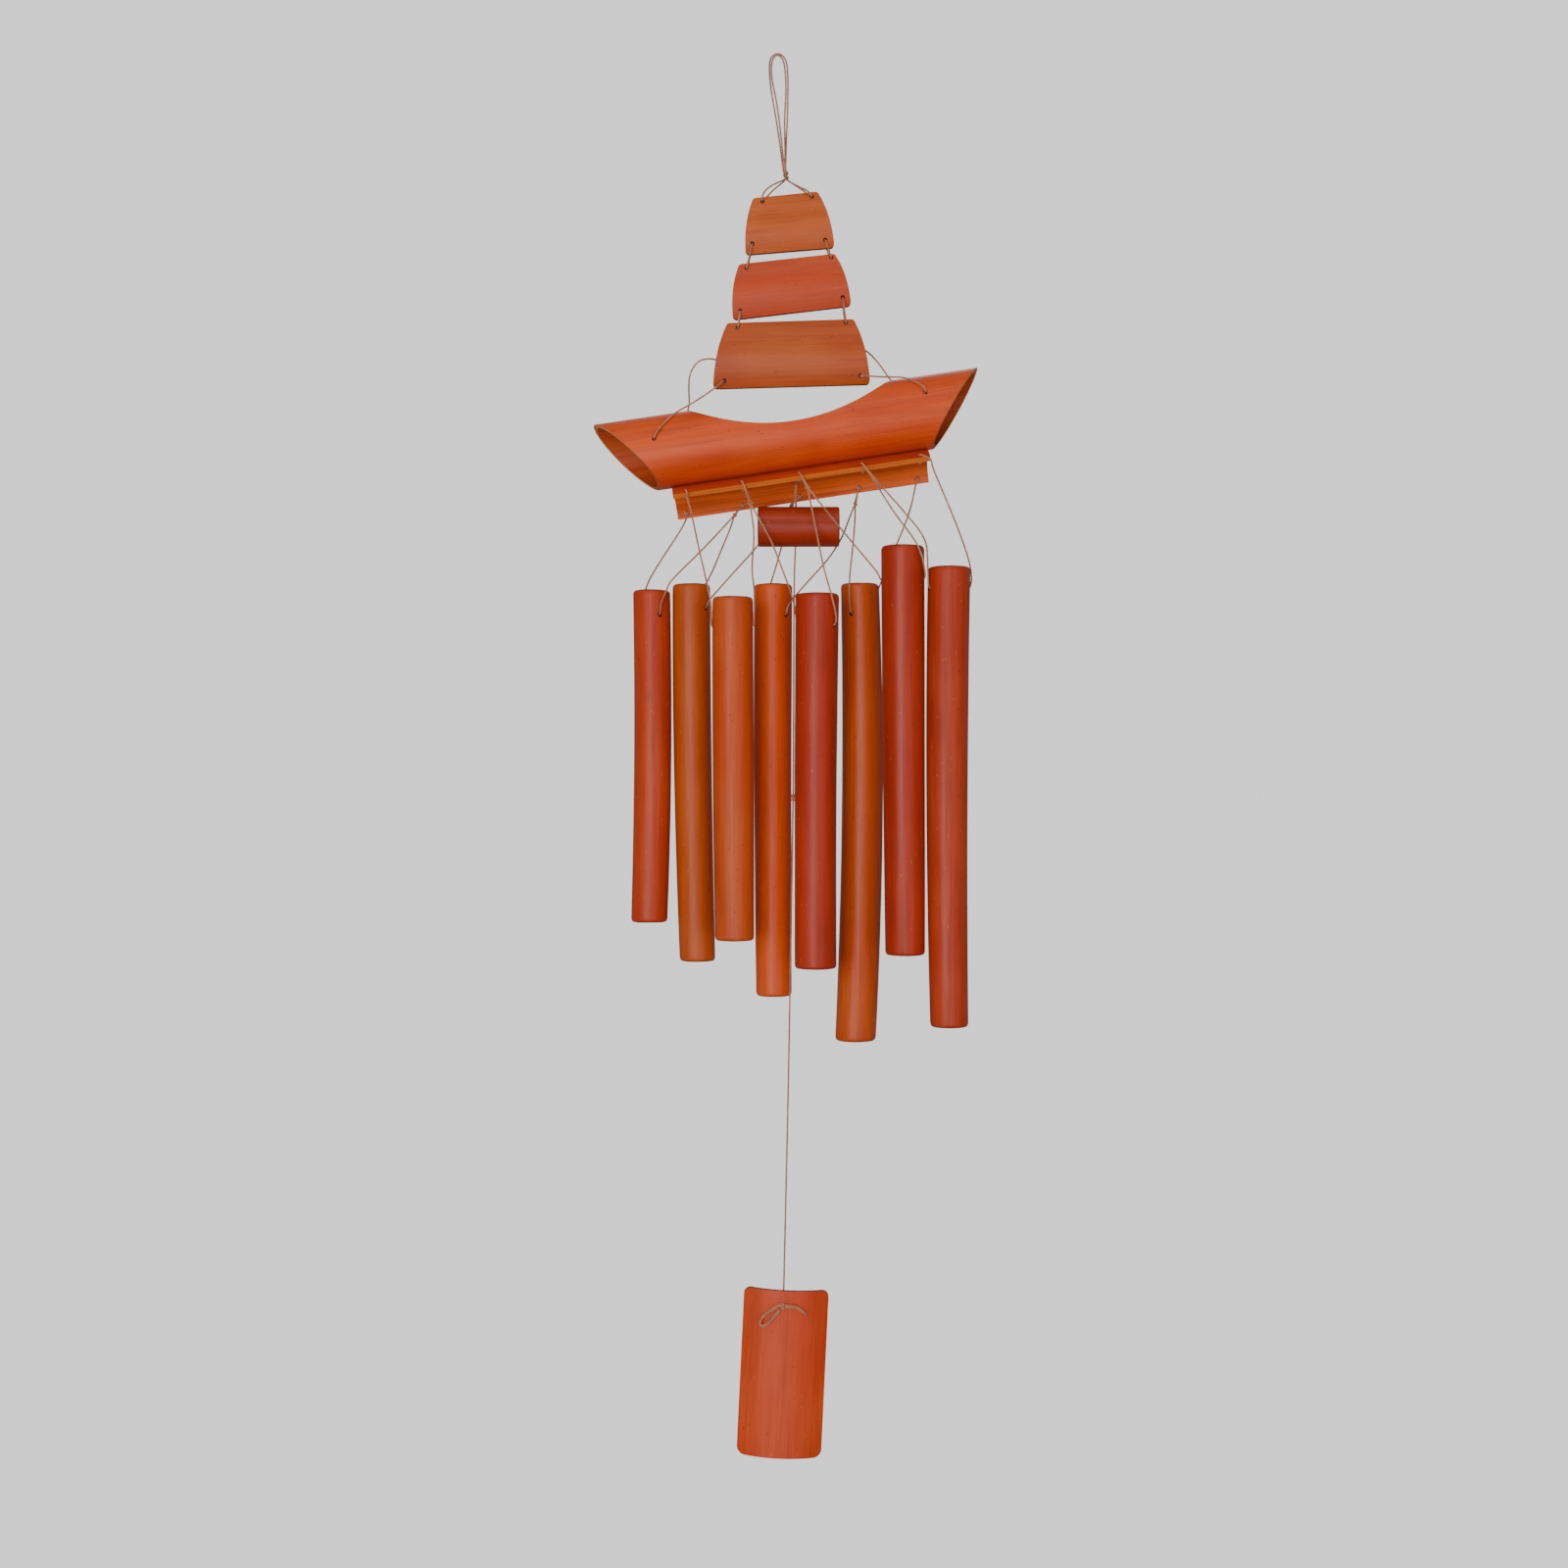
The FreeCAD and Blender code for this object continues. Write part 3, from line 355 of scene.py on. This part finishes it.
def strand_mesh(name, line, diameter, closed=False):
    """Plies twisted about the line, in metres, as one mesh."""
    steps = even_steps(line, diameter * TWIST_PITCH / 11)
    axes = frames_along(steps, closed)
    ply, reach = diameter * 0.245, diameter * 0.262
    step = (steps[1] - steps[0]).length
    turns = max(round(len(steps) * step / (diameter * TWIST_PITCH)), 1)
    verts, faces = [], []
    for k in range(PLIES):
        base = len(verts)
        for i, (point, (_, side, up)) in enumerate(zip(steps, axes)):
            if closed and i == len(steps) - 1:
                break
            twist = 2 * math.pi * (turns * i / (len(steps) - 1) + k / PLIES)
            out = side * math.cos(twist) + up * math.sin(twist)
            fat = 1 + 0.07 * noise.noise(Vector((i * 0.21, k * 5.0, point.z * 300)))
            centre = point + out * reach
            for j in range(PLY_SIDES):
                a = 2 * math.pi * j / PLY_SIDES + twist
                verts.append(centre + (side * math.cos(a) + up * math.sin(a)) * (ply * fat))
        rings = (len(verts) - base) // PLY_SIDES
        for i in range(rings if closed else rings - 1):
            for j in range(PLY_SIDES):
                a, b = base + i * PLY_SIDES, base + (i + 1) % rings * PLY_SIDES
                n = (j + 1) % PLY_SIDES
                faces.append((a + j, a + n, b + n, b + j))
        if not closed:
            faces.append(tuple(base + j for j in range(PLY_SIDES))[::-1])
            last = base + (rings - 1) * PLY_SIDES
            faces.append(tuple(last + j for j in range(PLY_SIDES)))
    mesh = bpy.data.meshes.new(name)
    mesh.from_pydata(verts, [], faces)
    mesh.update()
    return mesh


def twine(name, points, body, node=None, closed=False):
    """A length of twisted twine."""
    line = smooth_path(points, closed)
    mesh = strand_mesh(name, line, TWINE * MM, closed)
    obj = link_object(name, mesh, TWINE_MAT, body)
    if node:
        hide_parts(node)


def knot(name, centre, body, node=None, size=1.1, diameter=TWINE, turn=(0.0, 0.0, 0.0)):
    """A pulled-tight overhand knot: twine that follows a trefoil."""
    points = []
    spin = Matrix.Rotation(turn[2], 3, "Z") @ Matrix.Rotation(turn[1], 3, "Y")
    spin = spin @ Matrix.Rotation(turn[0], 3, "X")
    scale = size / 3.0
    for i in range(18):
        t = 2 * math.pi * i / 18
        across = (math.sin(t) + 2 * math.sin(2 * t), math.cos(t) - 2 * math.cos(2 * t))
        place = Vector((*across, -1.3 * math.sin(3 * t)))
        points.append(spin @ (place * scale) + Vector(centre))
    line = smooth_path(points, closed=True)
    mesh = strand_mesh(name, line, diameter * MM, closed=True)
    obj = link_object(name, mesh, TWINE_MAT, body)
    if node:
        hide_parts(node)


TWINE_MAT = twine_material("twine_waxed", (184, 114, 82), (138, 82, 60))


# ---------------------------------------------------------------- frames of the culms
HULL_TILT = math.radians(8.5)
HULL_ALONG = Vector((math.cos(HULL_TILT), 0, math.sin(HULL_TILT)))
HULL_UP = Vector((-math.sin(HULL_TILT), 0, math.cos(HULL_TILT)))
HANGER_CENTRE = -18.75 - 18.0 + 0.15

# name: tilt, outer radius, heights are those of the holes TL TR BR BL, as (x, z)
SAILS = {
    "sail_top": (5.4, 30.0, ((-8.0, -74.3), (17.2, -71.8), (24.0, -93.8), (-13.1, -95.8))),
    "sail_middle": (6.6, 30.0, ((-16.1, -108.2), (27.0, -102.8), (32.9, -123.1), (-19.3, -130.0))),
    "sail_bottom": (1.8, 33.0, ((-20.6, -138.6), (34.5, -136.0), (41.8, -163.1), (-27.3, -165.6))),
}

# name: row, (top, bottom), x at top middle bottom, diameters there, (height, direction) of its holes, wall
TUBES = {
    "tube_1": (14.0, (-271.0, -442.3), (-65.5, -64.9, -66.7), (19.2, 19.3, 18.8), (-284.1, 28), 4.0),
    "tube_2": (14.0, (-267.9, -462.4), (-44.9, -44.1, -41.7), (19.6, 19.6, 18.4), (-280.4, 51), 4.0),
    "tube_3": (-14.0, (-277.1, -449.6), (-22.8, -22.5, -21.9), (20.4, 20.8, 19.9), (-292.2, 78), 3.9),
    "tube_4": (14.0, (-267.9, -480.4), (-2.6, -2.8, -2.2), (19.8, 19.4, 18.4), (-284.0, 41), 3.6),
    "tube_5": (-14.0, (-275.4, -463.7), (19.8, 18.9, 18.9), (22.0, 21.2, 21.0), (-291.6, 52), 2.8),
    "tube_6": (14.0, (-267.6, -503.5), (42.2, 43.5, 39.9), (19.8, 21.2, 21.0), (-283.6, -30), 2.4),
    "tube_7": (-14.0, (-251.4, -456.9), (62.7, 63.3, 63.9), (21.7, 21.2, 20.0), (-268.4, 75), 2.3),
    "tube_8": (-14.0, (-262.0, -493.0), (86.1, 85.0, 86.1), (21.4, 20.8, 19.2), (-273.0, 110), 2.3),
}


def hull_point(along, y, up):
    return Vector((6.6, y, -192.0)) + HULL_ALONG * along + HULL_UP * up


def hanger_point(along, angle, radius):
    turn = math.radians(angle)
    return hull_point(along, radius * math.sin(turn), HANGER_CENTRE + radius * math.cos(turn))


def along_tube(values, t):
    a, b, c = values
    return a * (1 - t) * (1 - 2 * t) + 4 * b * t * (1 - t) + c * t * (2 * t - 1)


def tube_hole(name, side, beyond=0.0):
    row, (top, bottom), centres, diameters, (z, direction), _ = TUBES[name]
    reach = side * (diameters[0] / 2 + beyond)
    turn = math.radians(direction)
    x = along_tube(centres, (top - z) / (top - bottom))
    return Vector((x + reach * math.sin(turn), row - reach * math.cos(turn), z))


# ---------------------------------------------------------------- bamboo pieces
# name: tone, warm, deep, blotches, roughness
TUBE_TONES = {
    "tube_1": ((176, 62, 38), (186, 72, 44), (138, 40, 24), 0.55, 0.42),
    "tube_2": ((178, 84, 34), (190, 96, 46), (150, 62, 20), 0.0, 0.42),
    "tube_3": ((188, 78, 34), (194, 92, 48), (152, 50, 18), 0.0, 0.42),
    "tube_4": ((208, 86, 37), (212, 97, 48), (166, 54, 23), 0.0, 0.42),
    "tube_5": ((166, 50, 34), (176, 62, 44), (128, 32, 20), 0.0, 0.44),
    "tube_6": ((184, 80, 32), (192, 94, 44), (152, 56, 18), 0.0, 0.42),
    "tube_7": ((160, 46, 26), (172, 54, 32), (118, 28, 18), 0.5, 0.40),
    "tube_8": ((168, 56, 36), (178, 68, 48), (130, 36, 22), 0.12, 0.44),
}


def culm_mesh(name, segments=96):
    """A tube's mesh: a slightly uneven bowed wall with sanded rims, and a bore of its own shape."""
    row, (top, bottom), centres, diameters, _, wall = TUBES[name]
    number = int(name[-1])
    profile = []
    for i in range(100):
        profile.append((0.0, RIM_HEIGHT + (top - bottom - 2 * RIM_HEIGHT) * i / 99, 0))
    for i in range(1, 7):
        a = math.pi / 2 * i / 6
        profile.append((-RIM_INSET * (1 - math.cos(a)), top - bottom - RIM_HEIGHT * (1 - math.sin(a)), 0))
    for i in range(1, 6):
        a = math.pi / 2 * i / 5
        profile.append((-wall + BORE_RIM * (1 - math.sin(a)), top - bottom - BORE_RIM * (1 - math.cos(a)), 1))
    for i in range(1, 24):
        profile.append((-wall, (top - bottom - BORE_RIM) * (1 - i / 24) + BORE_RIM * i / 24, 1))
    for i in range(6):
        a = math.pi / 2 * i / 5
        profile.append((-wall + BORE_RIM * (1 - math.cos(a)), BORE_RIM * (1 - math.sin(a)), 1))
    for i in range(0, 6):
        a = math.pi / 2 * i / 6
        profile.append((-RIM_INSET * (1 - math.sin(a)), RIM_HEIGHT * (1 - math.cos(a)), 0))
    verts, faces = [], []
    for inset, height, kind in profile:
        z = bottom + height
        t = (top - z) / (top - bottom)
        x, radius = along_tube(centres, t), along_tube(diameters, t) / 2 + inset
        for j in range(segments):
            a = 2 * math.pi * j / segments
            around = Vector((math.cos(a), math.sin(a), 0))
            slow = noise.noise(Vector((around.x * 0.9, around.y * 0.9, z * 0.012 + number * 7.3)))
            fine = noise.noise(Vector((around.x * 7, around.y * 7, z * 0.006 + number * 3.1)))
            r = radius + (slow * 0.11 + fine * 0.05 if kind == 0 else slow * 0.35)
            lift = 0.10 * noise.noise(Vector((around.x * 1.5, around.y * 1.5, number * 5.7 + round(t) * 9)))
            end = max(0.0, 1 - min(height, top - bottom - height) / 6)
            verts.append(Vector((x + r * around.x, row + r * around.y, z + lift * end)) * MM)
    count = len(profile)
    for i in range(count):
        for j in range(segments):
            a, b, n = i * segments, (i + 1) % count * segments, (j + 1) % segments
            faces.append((a + j, a + n, b + n, b + j))
    mesh = bpy.data.meshes.new(name + "_culm")
    mesh.from_pydata(verts, [], faces)
    mesh.update()
    return mesh


def rod_mesh(start, end, radius, sides=40):
    start, end = Vector(start) * MM, Vector(end) * MM
    ahead = (end - start).normalized()
    side = ahead.orthogonal().normalized()
    up = ahead.cross(side)
    verts = []
    for place in (start, end):
        for j in range(sides):
            a = 2 * math.pi * j / sides
            verts.append(place + (side * math.cos(a) + up * math.sin(a)) * radius * MM)
    faces = [(j, (j + 1) % sides, sides + (j + 1) % sides, sides + j) for j in range(sides)]
    faces += [tuple(range(sides))[::-1], tuple(range(sides, 2 * sides))]
    mesh = bpy.data.meshes.new("rod")
    mesh.from_pydata(verts, [], faces)
    mesh.update()
    return mesh


def drilled(mesh, rod):
    """The mesh with the rod cut out of it."""
    obj = bpy.data.objects.new("blank", mesh)
    cutter = bpy.data.objects.new("drill", rod)
    SCENE.collection.objects.link(obj)
    SCENE.collection.objects.link(cutter)
    cut = obj.modifiers.new("drill", "BOOLEAN")
    cut.operation, cut.solver, cut.object = "DIFFERENCE", "EXACT", cutter
    evaluated = obj.evaluated_get(bpy.context.evaluated_depsgraph_get())
    out = bpy.data.meshes.new_from_object(evaluated)
    bpy.data.objects.remove(obj)
    bpy.data.objects.remove(cutter)
    return out


def make_tubes():
    for number, (name, tones) in enumerate(TUBE_TONES.items()):
        tone, warm, deep, blotch, rough = tones
        row, _, centres, _, _, _ = TUBES[name]
        mat = bamboo("bamboo_" + name, tone, warm, deep, (centres[1], row, -360.0), (0, 0, 1),
                     edge=(120, 48, 28), rim=(92, 30, 20), blotch=blotch, rough=rough, seed=0.31 * number)
        rod = rod_mesh(tube_hole(name, -1, 3), tube_hole(name, 1, 3), STRING_HOLE / 2)
        mesh = drilled(culm_mesh(name), rod)
        obj = link_object(name + "_culm", mesh, mat, name)
        mesh.set_sharp_from_angle(angle=math.radians(40))
        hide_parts(name)


def dress(node, mat):
    """A CAD piece keeps its shape and takes a material."""
    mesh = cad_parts[node].data
    mesh.materials.clear()
    mesh.materials.append(mat)


def make_bamboo():
    tones = {
        "sail_top": ((192, 96, 38), (204, 110, 46), (150, 62, 26)),
        "sail_middle": ((192, 74, 34), (202, 90, 44), (150, 48, 24)),
        "sail_bottom": ((176, 80, 32), (184, 92, 40), (136, 50, 22)),
    }
    for seed, (name, (tilt, radius, holes)) in enumerate(SAILS.items()):
        turn = math.radians(tilt)
        along, up = Vector((math.cos(turn), 0, math.sin(turn))), Vector((-math.sin(turn), 0, math.cos(turn)))
        heights = [Vector((x, 0, z)).dot(up) for x, z in holes]
        rise = (heights[0] + heights[1] - heights[2] - heights[3]) / 4
        origin = up * (sum(heights) / 4) + Vector((0, math.sqrt((radius - 1.25) ** 2 - rise**2), 0))
        dress(name, bamboo("bamboo_" + name, *tones[name], origin, along, edge=(150, 66, 34),
                           rim=(110, 40, 22), seed=2.1 + seed))
    dress("hull", bamboo("bamboo_hull", (206, 76, 32), (218, 93, 43), (156, 47, 25),
                         hull_point(0, 0, 0), HULL_ALONG, edge=(240, 178, 136), rim=(176, 92, 60),
                         inner=(182, 84, 46), seed=5.7))
    # The hanger's inner tone is painted lighter than its own pith: painted fill light on the inside wall,
    # which lies in shade under the front lip.
    dress("hanger", bamboo("bamboo_hanger", (178, 62, 28), (192, 76, 34), (130, 38, 20),
                           hull_point(0, 0, HANGER_CENTRE), HULL_ALONG, edge=(226, 132, 62),
                           rim=(186, 92, 44), inner=(222, 108, 53), seed=6.9))
    dress("clapper", bamboo("bamboo_clapper", (152, 48, 28), (172, 62, 38), (108, 29, 19),
                            (0, 0, -239.8), (1, 0, 0), edge=(130, 96, 92), rim=(104, 40, 32), seed=8.3))
    lean = math.radians(-2.7)
    dress("catcher", bamboo("bamboo_catcher", (194, 66, 34), (202, 82, 46), (148, 44, 26),
                            (2.3, 38.6, -670.9), (-math.sin(lean), 0, math.cos(lean)), edge=(150, 60, 34),
                            rim=(112, 38, 24), seed=9.9))


# ---------------------------------------------------------------- twine
FRONT_HOLES = (-57.4, -28.8, 0.5, 32.4, 62.0)
REAR_HOLES = (-59.4, -29.8, -0.1, 31.0, 61.4)
TOP_KNOT = (3.9, 0.0, -60.6)
BRIDLE_TOP = (3.9, 0.0, -62.2)


def link_points(upper, lower):
    """A closed loop through two holes: down in front, back up behind."""
    (x0, z0), (x1, z1) = upper, lower
    front, rear, lean = -2.7, 4.9, -0.02
    height = z0 - z1
    turn = 2.8 / height
    route = [(front, 0.0), (front, 1.0), (3.0, 1.03), (rear, 1.0 - turn), (rear, turn), (3.0, -0.03)]
    return [(x0 + (x1 - x0) * share + lean * y, y, z0 - height * share) for y, share in route]


def hole_knot(name, hole, body):
    """The knot that stops a twine just behind a sail's hole."""
    centre = (hole[0] - 0.1, 2.5, hole[1] + 0.2)
    knot(name, centre, body, size=1.6, diameter=1.25, turn=(1.4, 0.3, hole[0] * 0.1))


def make_suspension():
    twine("loop_inner_twine", LOOP_INNER + [TOP_KNOT], "hanging_loop", "loop_inner_strand")
    twine("loop_outer_twine", LOOP_OUTER + [TOP_KNOT], "hanging_loop", "loop_outer_strand")
    knot("loop_knot", (3.7, 0.0, -59.4), "hanging_loop", "top_knot", size=1.4, diameter=1.1,
         turn=(1.2, 0.3, 0.2))
    knot("loop_knot_lower", (4.2, 0.1, -61.3), "hanging_loop", size=1.5, diameter=1.1, turn=(0.4, 0.9, 0.5))
    twine("bridle_left_twine", [BRIDLE_TOP, *BRIDLE_LEFT, BRIDLE_TOP], "bridle", "bridle_left")
    twine("bridle_right_twine", [BRIDLE_TOP, *BRIDLE_RIGHT, BRIDLE_TOP], "bridle", "bridle_right")
    top, middle, bottom = (SAILS[n][2] for n in ("sail_top", "sail_middle", "sail_bottom"))
    hole_knot("bridle_left_knot", top[0], "bridle")
    hole_knot("bridle_right_knot", top[1], "bridle")
    hole_knot("hull_tie_left_sail_knot", bottom[3], "hull")
    hole_knot("hull_tie_right_sail_knot", bottom[2], "hull")
    for name, body, upper, lower in (
        ("link_top_left", "sail_top", top[3], middle[0]),
        ("link_top_right", "sail_top", top[2], middle[1]),
        ("link_low_left", "sail_middle", middle[3], bottom[0]),
        ("link_low_right", "sail_middle", middle[2], bottom[1]),
    ):
        points = link_points(upper, lower)
        twine(name + "_twine", points, body, name, closed=True)
        hole_knot(name + "_upper_knot", upper, body)
        hole_knot(name + "_lower_knot", lower, body)


def make_ties():
    for name, route, length in (("hull_tie_left", TIE_LEFT, 168), ("hull_tie_right", TIE_RIGHT, 137)):
        twine(name + "_twine", route, "hull", name)
        knot(name + "_knot", [(a + b) / 2 for a, b in zip(route[0], route[-1])], "hull", size=1.3)


def doubled(name, points, body, node):
    """Two strands side by side that cross once, from a hole to the knot below it."""
    for k in (0, 1):
        route = []
        for i, point in enumerate(points):
            turn = math.pi * (k + 0.8 * i / (len(points) - 1))
            route.append((point[0] + 0.42 * math.cos(turn), point[1] + 0.25 * math.sin(turn), point[2]))
        twine(f"{name}_strand_{k + 1}", route, body, node if k == 0 else None)


def make_leads():
    for i, along in enumerate(FRONT_HOLES):
        node = f"lead_front_{i + 1}"
        route = [hanger_point(along, -38.0, r) for r in (13.6, 18.7 if i == 4 else 19.1)]
        last = Vector(FRONT_TIES[i])
        if i == 4:
            over_the_end = ((72.8, -12.8, -205.4), (75.2, -13.6, -206.4), (77.4, -14.0, -208.0))
            route += [Vector(point) for point in over_the_end]
        else:
            edge = hanger_point(along + 1.0, -49.0, 19.0)
            route.append(Vector((edge.x, edge.y - 0.1, edge.z)))
        route.append(last)
        if 0 < i < 4:
            doubled(node, route, "hull", node)
            knot(node + "_knot", last, "hull", size=1.0, turn=(1.2, 0.4 * i, 0.3))
        else:
            twine(node + "_twine", route, "hull", node)
        knot(node + "_inner_knot", route[0], "hull", size=1.0, turn=(0.3, 0.5, 0.9))
    for i, along in enumerate(REAR_HOLES):
        node = f"lead_rear_{i + 1}"
        last = Vector(REAR_TIES[i])
        if i in (0, 4):
            route = [hanger_point(along, 66.0, r) for r in (13.4, 19.0)]
            route += [hanger_point(along, 78.0, 19.0), last]
            twine(node + "_twine", route, "hull", node)
        else:
            route = [hanger_point(along, 66.0, r) for r in (19.6, 14.0)]
            below = hanger_point(along, 77.0, 14.2)
            route += [Vector(((below.x + last.x) / 2, 13.3, below.z + 0.6)), last]
            doubled(node, route, "hull", node)
            knot(node + "_knot", last, "hull", size=1.0, turn=(1.2, 0.5 * i, 0.3))
        inner, outer = (hanger_point(along, 66.0, radius) for radius in (14.0, 19.0))
        knot(node + "_inner_knot", inner, "hull", size=1.1, turn=(0.9, 0.7, 0.2 * i))
        knot(node + "_outer_knot", outer, "hull", size=1.15, turn=(0.4, 0.9, 0.3 * i))


def make_strings():
    starts = {1: (REAR_TIES, 0), 2: (REAR_TIES, 1), 3: (FRONT_TIES, 0), 4: (REAR_TIES, 2),
              5: (FRONT_TIES, 1), 6: (REAR_TIES, 3), 7: (FRONT_TIES, 2), 8: (FRONT_TIES, 3)}
    for number, (row, k) in starts.items():
        name = f"tube_{number}"
        side, left, right = STRINGS[name]
        inside = []
        for end in (side, -side):
            inner = tube_hole(name, end, -5.0)
            inside.append((inner.x, inner.y, inner.z - 0.6))
        route = [row[k]] + left + [tuple(tube_hole(name, side, 0.7))] + inside
        route += [tuple(tube_hole(name, -side, 0.7))] + right + [row[k + 1]]
        twine(f"string_{number}_twine", route, name, f"string_{number}")


def make_clapper_and_catcher():
    twine("clapper_cord_twine", [(9.0, 0.0, -207.0)] + CLAPPER_CORD + [(9.0, 0.0, -233.0)], "clapper_cord",
          "clapper_cord")
    second = [(9.4, 0.5, -207.0), (9.3, 0.6, -216.0), (8.6, 0.8, -222.0), (9.2, 0.6, -227.0),
              (9.3, 0.4, -233.0)]
    twine("clapper_cord_second", second, "clapper_cord")
    knot("clapper_anchor_knot", (9.0, 0.0, -205.0), "hull", "clapper_cord_anchor", size=1.5)
    upper = [(8.9, 0.0, -246.0)] + CORD_UPPER + [(7.7, 0.0, -378.0)]
    twine("catcher_cord_upper_twine", upper, "catcher_cord_upper", "catcher_cord_upper")
    knot("catcher_cord_middle_knot", (7.7, 0.0, -377.2), "catcher_cord_upper", "catcher_cord_knot", size=1.0,
         turn=(1.3, 0.2, 0.4))
    knot("catcher_cord_middle_knot_low", (7.6, 0.0, -379.0), "catcher_cord_upper", size=0.8,
         turn=(0.6, 1.2, 0.0))
    lower = [(7.7, 0.0, -378.0)] + CORD_LOWER
    twine("catcher_cord_lower_twine", lower, "catcher_cord_lower", "catcher_cord_lower")
    twine("catcher_cord_end_twine", [(2.9, 0.0, -626.4)] + CATCHER_CORD, "catcher", "catcher_cord_end")
    knot("bow_knot_twine", (2.1, -4.7, -636.3), "catcher", "bow_knot", size=1.3, diameter=1.1,
         turn=(1.5, 0.0, 0.4))
    for k in (0, 1):
        shift = 0.7 * k - 0.35
        loop = [(x, y - 0.1 * k, z + shift) for x, y, z in BOW_LOOP]
        twine(f"bow_loop_strand_{k + 1}", loop, "catcher", "bow_loop" if k == 0 else None)
        tail = [(x, y - 0.1 * k, z + shift) for x, y, z in BOW_TAIL]
        twine(f"bow_tail_strand_{k + 1}", tail, "catcher", "bow_tail" if k == 0 else None)


# ---------------------------------------------------------------- studio
def area_light(name, place, target, size, power, colour=(1.0, 1.0, 1.0)):
    data = bpy.data.lights.new(name, "AREA")
    data.shape, data.size, data.energy, data.color = "SQUARE", size, power, colour
    light = bpy.data.objects.new(name, data)
    light.location = place
    light.rotation_euler = (Vector(target) - Vector(place)).to_track_quat("-Z", "Y").to_euler()
    SCENE.collection.objects.link(light)


def backdrop_material():
    mat = material("studio_white")
    values = {"Color": (1.0, 1.0, 1.0, 1.0), "Strength": BACKDROP_STRENGTH}
    shader = add(mat.node_tree, "ShaderNodeEmission", values)
    output = add(mat.node_tree, "ShaderNodeOutputMaterial")
    mat.node_tree.links.new(shader.outputs[0], output.inputs[0])
    return mat


def make_studio():
    """A pale sweep and floor that only the camera sees, so they don't light the bamboo, and soft lights."""
    world = bpy.data.worlds.new("studio")
    SCENE.world = world
    world.use_nodes = True
    tree = world.node_tree
    tree.nodes["Background"].inputs[0].default_value = (1.0, 0.99, 0.97, 1.0)
    tree.nodes["Background"].inputs[1].default_value = 0.27
    mat = backdrop_material()
    rings, sides = 24, 48
    verts, faces = [], []
    for i in range(rings + 1):
        a = math.pi * i / rings
        for j in range(sides):
            b = 2 * math.pi * j / sides
            verts.append((4 * math.sin(a) * math.cos(b), 4 * math.sin(a) * math.sin(b), 4 * math.cos(a)))
    for i in range(rings):
        for j in range(sides):
            n = (j + 1) % sides
            faces.append((i * sides + j, i * sides + n, (i + 1) * sides + n, (i + 1) * sides + j))
    sweep = bpy.data.meshes.new("sweep")
    sweep.from_pydata(verts, [], faces)
    floor = bpy.data.meshes.new("floor")
    floor.from_pydata([(-2, -2, -0.9), (2, -2, -0.9), (2, 2, -0.9), (-2, 2, -0.9)], [], [(0, 1, 2, 3)])
    for name, mesh in (("sweep", sweep), ("floor", floor)):
        mesh.materials.append(mat)
        obj = bpy.data.objects.new(name, mesh)
        obj.visible_diffuse = obj.visible_glossy = obj.visible_shadow = False
        SCENE.collection.objects.link(obj)
    area_light("key", (-0.55, -1.8, -0.38), (0.0, 0.0, -0.36), 1.0, 22.0, (1.0, 0.985, 0.96))
    area_light("fill", (0.95, -1.7, -0.45), (0.0, 0.0, -0.36), 1.1, 6.0, (0.97, 0.985, 1.0))
    area_light("low", (0.1, -1.6, -1.0), (0.0, 0.0, -0.3), 0.9, 3.0)
    area_light("top", (0.0, -1.0, 0.9), (0.0, 0.0, -0.3), 0.9, 5.0)
    area_light("back", (0.3, 1.6, 0.8), (0.0, 0.0, -0.3), 1.2, 7.0)
    data = bpy.data.cameras.new("camera")
    data.lens, data.sensor_width = 45.0, 36.0
    camera = bpy.data.objects.new("camera", data)
    camera.location = (0.003, -1.0, -0.371)
    camera.rotation_euler = (math.pi / 2, 0, 0)
    SCENE.collection.objects.link(camera)
    SCENE.camera = camera


make_tubes()
make_bamboo()
make_suspension()
make_ties()
make_leads()
make_strings()
make_clapper_and_catcher()
make_studio()
